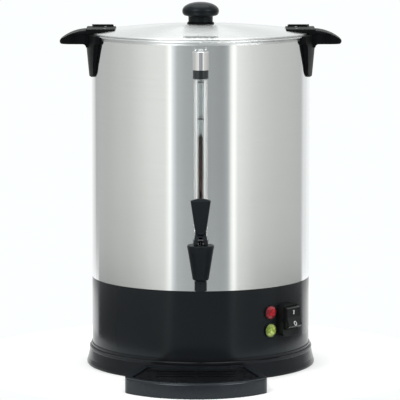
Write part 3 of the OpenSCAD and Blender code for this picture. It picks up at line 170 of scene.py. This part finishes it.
def rimDulling(tree, rolled):
    # what a rolled rim adds to the dullness at each height
    start, end, below, above = rolled
    split = addNode(tree, "ShaderNodeSeparateXYZ")
    tree.links.new(objectPoints(tree), split.inputs["Vector"])
    return spread(tree, split.outputs["Z"], below, above, start, end)


def metal(name):
    look = metalLook[name]
    mat, tree, shader = newMaterial(name)
    color = toLinear(look["color"])
    grain = noiseOn(tree, objectPoints(tree, look["stretch"]), metalGrain["scale"], detail=4.0, rough=0.6)
    cloud = noiseOn(tree, objectPoints(tree), metalClouds["scale"], detail=3.0)
    shader.inputs["Metallic"].default_value = 1.0
    shader.inputs["Anisotropic"].default_value = look["anisotropy"]
    shader.inputs["Anisotropic Rotation"].default_value = 0.25
    if look["anisotropy"] > 0:
        tangent = addNode(tree, "ShaderNodeTangent", {"direction_type": "RADIAL", "axis": "Z"})
        tree.links.new(tangent.outputs["Tangent"], shader.inputs["Tangent"])
    tone = spread(tree, grain, 0.0, 1.0, *metalGrain["between"])
    darker, paler = shaded(color, 1 - look["tone"]), shaded(color, 1 + look["tone"])
    tree.links.new(mixColor(tree, tone, darker, paler), shader.inputs["Base Color"])
    # handling leaves faint duller clouds
    clean, smudged = look["rough"] * (1 - look["smudge"]), look["rough"] * (1 + 2 * look["smudge"])
    dull = spread(tree, cloud, clean, smudged, *metalClouds["between"])
    if "rolled" in look:
        rim = addNode(tree, "ShaderNodeMath", {"operation": "ADD"})
        tree.links.new(dull, rim.inputs[0])
        tree.links.new(rimDulling(tree, look["rolled"]), rim.inputs[1])
        dull = rim.outputs[0]
    tree.links.new(dull, shader.inputs["Roughness"])
    depth = look["grain"] * millimetre
    bump = addNode(tree, "ShaderNodeBump", Strength=metalGrain["strength"], Distance=depth)
    tree.links.new(grain, bump.inputs["Height"])
    tree.links.new(bump.outputs["Normal"], shader.inputs["Normal"])
    return mat


# shine: how strongly the skin mirrors; grain: how fine its texture is; depth: the texture's, in
# millimetres; worn: how pale the rubbed edges are; mottle: slow colour drift over the moulding
plasticLook = {
    "bandBlack": {"color": (20, 23, 26), "shine": 0.23, "rough": 0.15, "grain": 900, "depth": 0.012,
                  "worn": 0.08, "mottle": 0.1, "coat": 0.0},
    "skirtBlack": {"color": (22, 24, 27), "shine": 0.14, "rough": 0.18, "grain": 700, "depth": 0.015,
                   "worn": 0.12, "mottle": 0.12, "coat": 0.0},
    "handleBlack": {"color": (10, 11, 12), "shine": 0.03, "rough": 0.42, "grain": 500, "depth": 0.01,
                    "worn": 0.1, "mottle": 0.14, "coat": 0.0},
    "knobBlack": {"color": (16, 19, 21), "shine": 0.14, "rough": 0.30, "grain": 500, "depth": 0.01,
                  "worn": 0.1, "mottle": 0.12, "coat": 0.0},
    "tapBlack": {"color": (22, 26, 29), "shine": 0.15, "rough": 0.28, "grain": 650, "depth": 0.015,
                 "worn": 0.12, "mottle": 0.1, "coat": 0.0},
    "trayPlastic": {"color": (20, 23, 28), "shine": 0.34, "rough": 0.26, "grain": 620, "depth": 0.020,
                    "worn": 0.12, "mottle": 0.08, "coat": 0.0},
    "grilleBlack": {"color": (8, 8, 9), "shine": 0.40, "rough": 0.16, "grain": 420, "depth": 0.008,
                    "worn": 0.06, "mottle": 0.1, "coat": 0.1},
    "switchBlack": {"color": (13, 14, 15), "shine": 0.25, "rough": 0.26, "grain": 800, "depth": 0.012,
                    "worn": 0.1, "mottle": 0.1, "coat": 0.0},
    "ringBlack": {"color": (14, 18, 19), "shine": 0.70, "rough": 0.11, "grain": 800, "depth": 0.006,
                  "worn": 0.1, "mottle": 0.1, "coat": 0.0},
    "sealRubber": {"color": (176, 70, 52), "shine": 0.4, "rough": 0.62, "grain": 800, "depth": 0.03,
                   "worn": 0.05, "mottle": 0.1, "coat": 0.0},
    "footRubber": {"color": (34, 34, 35), "shine": 0.35, "rough": 0.72, "grain": 600, "depth": 0.06,
                   "worn": 0.1, "mottle": 0.12, "coat": 0.0},
    "cupSilicone": {"color": (216, 214, 206), "shine": 0.4, "rough": 0.48, "grain": 700, "depth": 0.02,
                    "worn": 0.02, "mottle": 0.06, "coat": 0.0},
    "ceramicWhite": {"color": (224, 219, 206), "shine": 0.4, "rough": 0.55, "grain": 500, "depth": 0.04,
                     "worn": 0.03, "mottle": 0.06, "coat": 0.0},
    "terminalNylon": {"color": (220, 219, 213), "shine": 0.45, "rough": 0.42, "grain": 700, "depth": 0.03,
                      "worn": 0.03, "mottle": 0.05, "coat": 0.0},
    "wireSleeve": {"color": (172, 44, 38), "shine": 0.4, "rough": 0.45, "grain": 900, "depth": 0.03,
                   "worn": 0.05, "mottle": 0.08, "coat": 0.0},
    "markWhite": {"color": (206, 208, 208), "shine": 0.4, "rough": 0.5, "grain": 900, "depth": 0.01,
                  "worn": 0.02, "mottle": 0.08, "coat": 0.0},
    "markGrey": {"color": (96, 98, 100), "shine": 0.4, "rough": 0.5, "grain": 900, "depth": 0.01,
                 "worn": 0.02, "mottle": 0.08, "coat": 0.0},
}
# drift: scale of the slow clouds; between: the values of their noise over which the whole change
# takes place; duller: the least and most by which they change the roughness; rubbed: between
# which sharpnesses an edge turns paler; paler: its colour's gain and lift; cool: the bluish tint
# of the shine
plasticSkin = {"drift": 14.0, "between": (0.3, 0.7), "duller": (0.88, 1.18), "rubbed": (0.52, 0.62),
               "paler": (2, 0.03), "cool": (0.86, 0.95, 1.0, 1), "coatRough": 0.12, "strength": 0.35}


def plastic(name):
    look = plasticLook[name]
    mat, tree, shader = newMaterial(name)
    color = toLinear(look["color"])
    points = objectPoints(tree)
    fine = noiseOn(tree, points, look["grain"], rough=0.6)
    slow = noiseOn(tree, points, plasticSkin["drift"], detail=3.0)
    base = mixColor(tree, spread(tree, slow, 0, 1, *plasticSkin["between"]),
                    shaded(color, 1 - look["mottle"]), shaded(color, 1 + look["mottle"]))
    # edges that hands and cloths rub turn a little paler
    geometry = addNode(tree, "ShaderNodeNewGeometry")
    edge = spread(tree, geometry.outputs["Pointiness"], 0.0, look["worn"], *plasticSkin["rubbed"])
    gain, lift = plasticSkin["paler"]
    rubbed = tuple(min(1, c * gain + lift) for c in color)
    tree.links.new(mixColor(tree, edge, base, rubbed), shader.inputs["Base Color"])
    least, most = (look["rough"] * factor for factor in plasticSkin["duller"])
    tree.links.new(spread(tree, slow, least, most, *plasticSkin["between"]), shader.inputs["Roughness"])
    shader.inputs["Specular IOR Level"].default_value = look["shine"]
    shader.inputs["Specular Tint"].default_value = plasticSkin["cool"]
    shader.inputs["Coat Weight"].default_value = look["coat"]
    shader.inputs["Coat Roughness"].default_value = plasticSkin["coatRough"]
    depth = look["depth"] * millimetre
    bump = addNode(tree, "ShaderNodeBump", Strength=plasticSkin["strength"], Distance=depth)
    tree.links.new(fine, bump.inputs["Height"])
    tree.links.new(bump.outputs["Normal"], shader.inputs["Normal"])
    return mat


# core: how far from the lens's middle the small lamp behind it still shows, in metres, and edge:
# from where only the dark rim is left; cells: how many of the inner facets stand in a metre
lensLook = {
    "redLens": {"node": "red_lens", "rim": (34, 3, 10), "deep": (120, 4, 18), "lit": (178, 14, 34),
                "core": 0.0062, "edge": 0.0105, "glow": 0.32, "cells": 260},
    "greenLens": {"node": "green_lens", "rim": (50, 62, 20), "deep": (104, 126, 34), "lit": (190, 206, 120),
                  "core": 0.0062, "edge": 0.0110, "glow": 0.34, "cells": 240},
}
lensSkin = {"facet": (0.1, 0.7), "rough": 0.22, "coat": 0.1, "strength": 0.3, "relief": 0.0003}


def litLens(name):
    look = lensLook[name]
    mat, tree, shader = newMaterial(name)
    low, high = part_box(look["node"])
    points = objectPoints(tree)
    cell = addNode(tree, "ShaderNodeTexVoronoi", Scale=look["cells"])
    tree.links.new(points, cell.inputs["Vector"])
    away = addNode(tree, "ShaderNodeVectorMath", {"operation": "DISTANCE"})
    away.inputs[1].default_value = tuple((a + b) / 2 for a, b in zip(low, high))
    tree.links.new(points, away.inputs[0])
    facet = mixColor(tree, spread(tree, cell.outputs["Distance"], 1.0, 0.0, *lensSkin["facet"]),
                     toLinear(look["deep"]), toLinear(look["lit"]))
    rim = spread(tree, away.outputs["Value"], 0.0, 1.0, look["core"], look["edge"])
    tint = mixColor(tree, rim, facet, toLinear(look["rim"]))
    tree.links.new(tint, shader.inputs["Base Color"])
    tree.links.new(tint, shader.inputs["Emission Color"])
    shader.inputs["Emission Strength"].default_value = look["glow"]
    shader.inputs["Roughness"].default_value = lensSkin["rough"]
    shader.inputs["Coat Weight"].default_value = lensSkin["coat"]
    bump = addNode(tree, "ShaderNodeBump", Strength=lensSkin["strength"], Distance=lensSkin["relief"])
    tree.links.new(cell.outputs["Distance"], bump.inputs["Height"])
    tree.links.new(bump.outputs["Normal"], shader.inputs["Normal"])
    return mat


# paintedSheen: how white the wall is painted from facing (0) to its silhouette (1), a painted highlight that
# stands in for the tube's bright flanks; bends: whether the tube bends the light, which only the outer one
# does
glassLook = {
    "clearGlass": {"bends": False,
                   "paintedSheen": [(0.0, 0.0), (0.37, 0.02), (0.50, 0.55), (0.75, 0.70), (1.0, 0.5)]},
    "guardGlass": {"bends": True,
                   "paintedSheen": [(0.0, 0.0), (0.112, 0.0), (0.150, 0.74), (0.30, 0.42), (0.50, 0.26),
                            (1.0, 0.12)]},
}
glassSkin = {"stretch": (400, 400, 6), "scale": 3.0, "rough": (0.01, 0.05), "index": 1.45,
             "tint": ((0.93, 0.96, 0.96), (0.98, 0.99, 0.99))}


def glass(name):
    # drawn tube, with faint streaks along it
    look = glassLook[name]
    mat, tree, shader = newMaterial(name)
    streak = noiseOn(tree, objectPoints(tree, glassSkin["stretch"]), glassSkin["scale"])
    tree.links.new(spread(tree, streak, *glassSkin["rough"]), shader.inputs["Roughness"])
    tree.links.new(mixColor(tree, streak, *glassSkin["tint"]), shader.inputs["Base Color"])
    # the flanks are painted whiter than the middle by how the wall faces the view: painted highlight
    facing = addNode(tree, "ShaderNodeLayerWeight", Blend=0.5)
    ramp = addNode(tree, "ShaderNodeValToRGB")
    tree.links.new(facing.outputs["Facing"], ramp.inputs["Fac"])
    if look["bends"]:
        fillRamp(ramp, [(place, 1 - paintedSheen) for place, paintedSheen in look["paintedSheen"]])
        tree.links.new(ramp.outputs["Color"], shader.inputs["Transmission Weight"])
        shader.inputs["IOR"].default_value = glassSkin["index"]
    else:
        fillRamp(ramp, look["paintedSheen"])
        tree.links.new(ramp.outputs["Color"], shader.inputs["Alpha"])
    return mat


coffeeLook = {"dark": (58, 26, 15), "light": (80, 40, 25), "stretch": (30, 30, 8), "scale": 4.0,
              "rough": (0.10, 0.2), "shine": 0.2}


def coffeeLiquid():
    mat, tree, shader = newMaterial("coffeeLiquid")
    slow = noiseOn(tree, objectPoints(tree, coffeeLook["stretch"]), coffeeLook["scale"])
    brown = mixColor(tree, slow, toLinear(coffeeLook["dark"]), toLinear(coffeeLook["light"]))
    tree.links.new(brown, shader.inputs["Base Color"])
    tree.links.new(spread(tree, slow, *coffeeLook["rough"]), shader.inputs["Roughness"])
    shader.inputs["Specular IOR Level"].default_value = coffeeLook["shine"]
    return mat


# every finish by its name
made = {name: metal(name) for name in metalLook}
made.update({name: plastic(name) for name in plasticLook})
made.update({name: litLens(name) for name in lensLook})
made.update({name: glass(name) for name in glassLook})
made["coffeeLiquid"] = coffeeLiquid()

# which finish each of the part's material slots gets, and the pieces that differ from their slot
slotMaterial = {
    "tank_steel": "tankSteel", "lid_steel": "lidSteel", "inner_steel": "innerSteel",
    "zinc_steel": "zincSteel", "bright_metal": "brightMetal", "band_black": "bandBlack",
    "skirt_black": "skirtBlack", "handle_black": "handleBlack", "tap_black": "tapBlack",
    "tray_plastic": "trayPlastic", "grille_black": "grilleBlack", "switch_black": "switchBlack",
    "lens_red": "redLens", "lens_green": "greenLens", "clear_glass": "clearGlass",
    "seal_rubber": "sealRubber", "foot_rubber": "footRubber", "cup_silicone": "cupSilicone",
    "ceramic_white": "ceramicWhite", "terminal_nylon": "terminalNylon", "wire_sleeve": "wireSleeve",
    "heater_alloy": "heaterAlloy",
}
nodeMaterial = {"gauge_guard": "guardGlass", "gauge_ring": "ringBlack", "lid_knob": "knobBlack",
                "tap_stem": "stemSteel"}


def dressNodes():
    slotOf = {s["node"]: s["material_slot"] for s in frame["record"]["subparts"]}
    for name, obj in nodes.items():
        obj.data.materials.clear()
        look = nodeMaterial.get(name, slotMaterial[slotOf[name]])
        obj.data.materials.append(made[look])


dressNodes()
print("stage: materials on", len(nodes), "nodes")


def addPiece(name, build, material, body, smooth=True):
    mesh = bpy.data.meshes.new(name)
    bm = bmesh.new()
    build(bm)
    bmesh.ops.recalc_face_normals(bm, faces=bm.faces)
    bm.to_mesh(mesh)
    bm.free()
    for face in mesh.polygons:
        face.use_smooth = smooth
    mesh.materials.append(made[material])
    obj = bpy.data.objects.new(name, mesh)
    scene.collection.objects.link(obj)
    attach(obj, body)


def latheOn(bm, profile, center, sides=48):
    # rings of points for each (radius, height) of the profile, turned about an upright axis
    rings = []
    for radius, height in profile:
        if radius == 0:
            rings.append([bm.verts.new((center[0], center[1], height))])
            continue
        rings.append([bm.verts.new((center[0] + radius * math.cos(2 * math.pi * i / sides),
                                    center[1] + radius * math.sin(2 * math.pi * i / sides), height))
                      for i in range(sides)])
    for low, high in zip(rings, rings[1:]):
        for i in range(sides):
            j = (i + 1) % sides
            a = [low[i], low[j]] if len(low) > 1 else [low[0]]
            b = [high[j], high[i]] if len(high) > 1 else [high[0]]
            bm.faces.new(a + b)


# in metres; level and radius: the coffee's, which climbs a little at the glass; curve: the shape
# of that climb, in shares of the radius and the meniscus; the marks are thin printed rings on
# the inner tube
gauge = {"level": 0.3078, "radius": 0.00318, "footGap": 0.0004, "meniscus": 0.0006,
         "curve": ((1, 1), (0.93, 0.4), (0.7, 0)), "dip": 0.0001,
         "marks": (0.3755, 0.3300), "markHeight": 0.0011, "markGap": 0.00003, "markRelief": 0.0001}


def gaugeCenter():
    low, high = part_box("gauge_glass")
    return (low.x + high.x) / 2, (low.y + high.y) / 2, low.z


def makeCoffee():
    x, y, foot = gaugeCenter()
    r, top, rise = gauge["radius"], gauge["level"], gauge["meniscus"]
    bottom = foot + gauge["footGap"]
    curve = [(r * across, top + rise * up) for across, up in gauge["curve"]]

    def build(bm):
        latheOn(bm, [(0, bottom), (r, bottom), *curve, (0, top - gauge["dip"])], (x, y))
    addPiece("coffee_column", build, "coffeeLiquid", "urn")


def makeGaugeMarks():
    x, y, _ = gaugeCenter()
    low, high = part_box("gauge_glass")
    r, h, relief = (high.x - low.x) / 2 + gauge["markGap"], gauge["markHeight"], gauge["markRelief"]
    for i, z in enumerate(gauge["marks"]):
        def build(bm, z=z):
            latheOn(bm, [(r, z), (r + relief, z + relief), (r + relief, z + h - relief), (r, z + h)], (x, y))
        addPiece("gauge_mark_%d" % (i + 1), build, "markGrey", "urn")


makeCoffee()
makeGaugeMarks()
print("stage: gauge")


# I above and O below on the rocker, in metres; lift: height over its middle; proud and sunk: how
# far a mark stands out of the face and reaches into it
rockerMarks = {"on": {"lift": 0.0072, "width": 0.0016, "height": 0.0052, "parts": 4},
               "off": {"lift": -0.0068, "radius": 0.0027, "line": 0.0008, "parts": 36},
               "proud": 0.00034, "sunk": 0.0002}


def rockerFace():
    # gives a function that lays a point on the rocker's face, cast inwards from well outside
    low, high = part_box("rocker")
    center = (low + high) / 2
    out = Vector((center.x, center.y, 0)).normalized()
    side = Vector((-out.y, out.x, 0))
    rocker = nodes["rocker"]
    tree = BVHTree.FromObject(rocker, bpy.context.evaluated_depsgraph_get())
    toRocker = rocker.matrix_world.inverted()
    wellOutside = 0.06

    def put(across, up):
        start = center + out * wellOutside + side * across + Vector((0, 0, up))
        hit = tree.ray_cast(toRocker @ start, toRocker.to_3x3() @ -out)
        place = rocker.matrix_world @ hit[0]
        return place + out * rockerMarks["proud"], place - out * rockerMarks["sunk"]
    return put


def raisedLine(bm, outline, closed):
    # outline: pairs of inner and outer points; the line becomes a raised bar on the face
    put = rockerFace()
    cuts = []
    for inner, outer in outline:
        top0, low0 = put(*inner)
        top1, low1 = put(*outer)
        cuts.append([bm.verts.new(p) for p in (low0, top0, top1, low1)])
    following = cuts[1:] + ([cuts[0]] if closed else [])
    for a, b in zip(cuts, following):
        for i in range(4):
            j = (i + 1) % 4
            bm.faces.new((a[i], a[j], b[j], b[i]))
    if not closed:
        bm.faces.new(cuts[0])
        bm.faces.new(cuts[-1][::-1])


def onMark(bm):
    on = rockerMarks["on"]
    w, h = on["width"] / 2, on["height"]
    heights = [on["lift"] - h / 2 + h * i / on["parts"] for i in range(on["parts"] + 1)]
    raisedLine(bm, [((-w, z), (w, z)) for z in heights], False)


def offMark(bm):
    off = rockerMarks["off"]
    inner, outer, z = off["radius"] - off["line"], off["radius"], off["lift"]
    turns = [2 * math.pi * i / off["parts"] for i in range(off["parts"])]
    raisedLine(bm, [((inner * math.cos(t), z + inner * math.sin(t)),
                     (outer * math.cos(t), z + outer * math.sin(t))) for t in turns], True)


def makeRockerMarks():
    addPiece("rocker_mark_on", onMark, "markWhite", "rocker", False)
    addPiece("rocker_mark_off", offMark, "markWhite", "rocker", False)


makeRockerMarks()
print("stage: rocker marks")


# the sheet's joint down the back, ground almost flat; reach: how far back it lies; sway: how far
# and how fast its width wanders; ripple: how much its crest rises and falls; crest: its section's
# (across, up) in shares of half the width and of proud
weldSeam = {"reach": 0.14, "low": 0.1145, "high": 0.4170, "width": 0.0016, "proud": 0.00025,
            "sunk": 0.0002, "crest": ((-0.6, 0.8), (0, 1), (0.6, 0.8)), "ripples": 150, "ripple": 0.35,
            "sway": ((0.12, 2.1), (0.05, 0.37))}


def makeWeldSeam():
    low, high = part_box("tank")
    seam = weldSeam
    x, y, sunk = (low.x + high.x) / 2, seam["reach"], -seam["sunk"]
    rows = 2 * seam["ripples"]

    def build(bm):
        lines = []
        for i in range(rows + 1):
            z = seam["low"] + (seam["high"] - seam["low"]) * i / rows
            w = seam["width"] / 2 * (1 + sum(far * math.sin(i * fast) for far, fast in seam["sway"]))
            p = seam["proud"] * (1 + seam["ripple"] * math.cos(math.pi * i))
            section = [(-1, sunk), *((across, p * up) for across, up in seam["crest"]), (1, sunk)]
            lines.append([bm.verts.new((x + across * w, y + out, z)) for across, out in section])
        for a, b in zip(lines, lines[1:]):
            for i in range(4):
                bm.faces.new((a[i], a[i + 1], b[i + 1], b[i]))
    addPiece("weld_seam", build, "innerSteel", "urn")


makeWeldSeam()
print("stage: weld seam")


# what the urn sees at each direction round it, in degrees from the front towards the switch
# side, as brightness; the high wall shows in the steel and the low one in the black base
studioWall = {
    "radius": 2.6, "low": -0.305, "high": 1.5,
    "tones": [(-162, 0.97), (-156, 0.92), (-146, 0.76), (-142, 0.48), (-138.5, 0.52), (-126, 0.56),
              (-110, 0.58), (-93, 0.65), (-78.6, 0.70), (-65.7, 0.80), (-53.8, 0.89), (-42, 0.91),
              (-37, 0.91), (-34.1, 1.05), (-31, 1.40), (-28.8, 0.98), (-24, 0.54), (-16, 0.46),
              (13, 0.40), (21, 0.37), (25, 0.40), (28.2, 0.52), (31.3, 1.12), (34.5, 1.40),
              (37.8, 0.97), (45, 0.89), (56, 0.78), (82, 0.67), (114, 0.60), (129, 0.56),
              (136.7, 0.87), (148, 0.92)],
}
lowWall = {
    "radius": 2.6, "low": -1.6, "high": -0.305,
    "tones": [(-180, 1.3), (-165, 1.4), (-150, 1.8), (-137.5, 1.9), (-136, 0.16), (-100, 0.14),
              (-60, 0.22), (-40, 0.50), (-34, 0.85), (-28, 0.50), (0, 0.46), (28, 0.50), (34, 0.95),
              (40, 0.50), (60, 0.22), (100, 0.12), (134, 0.12), (136, 1.6), (150, 1.6), (165, 1.35),
              (180, 1.3)],
}
# tints: degrees from the front up to which each holds, cool in the middle and warmer beside it;
# brightest: the tone at the top of the ramp
wallSetup = {"steps": 180, "brightest": 4.0,
             "tints": [(29, (0.965, 1.0, 1.015)), (125, (1.008, 1.005, 0.965)), (181, (1.0, 1.0, 1.0))]}


def wallGlow(name, tones):
    mat = bpy.data.materials.new(name)
    mat.use_nodes = True
    tree = mat.node_tree
    tree.nodes.clear()
    coord = addNode(tree, "ShaderNodeTexCoord")
    split = addNode(tree, "ShaderNodeSeparateXYZ")
    angle = addNode(tree, "ShaderNodeMath", {"operation": "ARCTAN2"})
    flip = addNode(tree, "ShaderNodeMath", {"operation": "MULTIPLY"})
    flip.inputs[1].default_value = -1.0
    ramp = addNode(tree, "ShaderNodeValToRGB")
    glow = addNode(tree, "ShaderNodeEmission", Strength=wallSetup["brightest"])
    out = addNode(tree, "ShaderNodeOutputMaterial")
    tree.links.new(coord.outputs["Object"], split.inputs["Vector"])
    tree.links.new(split.outputs["Y"], flip.inputs[0])
    tree.links.new(split.outputs["X"], angle.inputs[0])
    tree.links.new(flip.outputs[0], angle.inputs[1])
    place = spread(tree, angle.outputs[0], 0.0, 1.0, -math.pi, math.pi)
    tree.links.new(place, ramp.inputs["Fac"])
    fillRamp(ramp, [((degrees + 180) / 360, tone / wallSetup["brightest"]) for degrees, tone in tones])
    for element in ramp.color_ramp.elements:
        tint = next(t for reach, t in wallSetup["tints"] if abs(element.position * 360 - 180) <= reach)
        element.color = (*(c * t for c, t in zip(element.color[:3], tint)), 1)
    tree.links.new(ramp.outputs["Color"], glow.inputs["Color"])
    tree.links.new(glow.outputs[0], out.inputs["Surface"])
    return mat


def addStage(name, bm, mat):
    # a piece of the studio, which is no part of the urn
    mesh = bpy.data.meshes.new(name)
    bm.to_mesh(mesh)
    bm.free()
    mesh.materials.append(mat)
    obj = bpy.data.objects.new(name, mesh)
    scene.collection.objects.link(obj)
    return obj


def makeWall(name, wall):
    first, last = wall["tones"][0][0], wall["tones"][-1][0]
    steps = wallSetup["steps"]
    rows = []
    bm = bmesh.new()
    for i in range(steps + 1):
        a = math.radians(first + (last - first) * i / steps)
        x, y = wall["radius"] * math.sin(a), -wall["radius"] * math.cos(a)
        rows.append([bm.verts.new((x, y, z)) for z in (wall["low"], wall["high"])])
    for a, b in zip(rows, rows[1:]):
        bm.faces.new((a[0], b[0], b[1], a[1]))
    addStage(name, bm, wallGlow(name, wall["tones"])).visible_camera = False


# fill: a faint glow of the floor's own, which keeps it pale
floorSetup = {"radius": 0.31, "sides": 128, "drop": 0.0002, "diffuse": 0.86, "drift": 1.02,
              "clouds": 2.0, "rough": 0.9, "shine": 0.1, "fill": 0.14}


def makeFloor():
    mat, tree, shader = newMaterial("paleFloor")
    cloud = noiseOn(tree, objectPoints(tree), floorSetup["clouds"])
    pale = (floorSetup["diffuse"],) * 3
    paler = tuple(tone * floorSetup["drift"] for tone in pale)
    tree.links.new(mixColor(tree, cloud, pale, paler), shader.inputs["Base Color"])
    shader.inputs["Roughness"].default_value = floorSetup["rough"]
    shader.inputs["Specular IOR Level"].default_value = floorSetup["shine"]
    shader.inputs["Emission Color"].default_value = (1, 1, 1, 1)
    shader.inputs["Emission Strength"].default_value = floorSetup["fill"]
    bm = bmesh.new()
    bmesh.ops.create_circle(bm, cap_ends=True, segments=floorSetup["sides"], radius=floorSetup["radius"])
    addStage("paleFloor", bm, mat).location.z = -floorSetup["drop"]


lamps = {
    "keyLamp": {"place": (-1.1, -1.6, 1.9), "aim": (0, 0, 0.25), "size": (1.2, 0.9), "power": 22},
    "sideLamp": {"place": (1.5, -1.2, 1.5), "aim": (0, 0, 0.25), "size": (1.0, 0.8), "power": 12},
    "topLamp": {"place": (0.0, 0.4, 2.3), "aim": (0, 0, 0.3), "size": (1.6, 1.6), "power": 16},
}
studioAir = {"color": (0.977, 1, 1, 1), "strength": 1.0}


def makeLights():
    for name, lamp in lamps.items():
        data = bpy.data.lights.new(name, "AREA")
        data.shape = "RECTANGLE"
        data.size, data.size_y = lamp["size"]
        data.energy = lamp["power"]
        obj = bpy.data.objects.new(name, data)
        obj.location = lamp["place"]
        direction = Vector(lamp["aim"]) - Vector(lamp["place"])
        obj.rotation_euler = direction.to_track_quat("-Z", "Y").to_euler()
        obj.visible_camera = False
        scene.collection.objects.link(obj)


def makeAir():
    world = bpy.data.worlds.new("studioAir")
    world.use_nodes = True
    air = world.node_tree.nodes["Background"]
    air.inputs["Color"].default_value = studioAir["color"]
    air.inputs["Strength"].default_value = studioAir["strength"]
    scene.world = world


makeWall("studioWall", studioWall)
makeWall("lowWall", lowWall)
makeFloor()
makeLights()
makeAir()
scene.view_settings.view_transform = "Standard"
print("stage: studio")
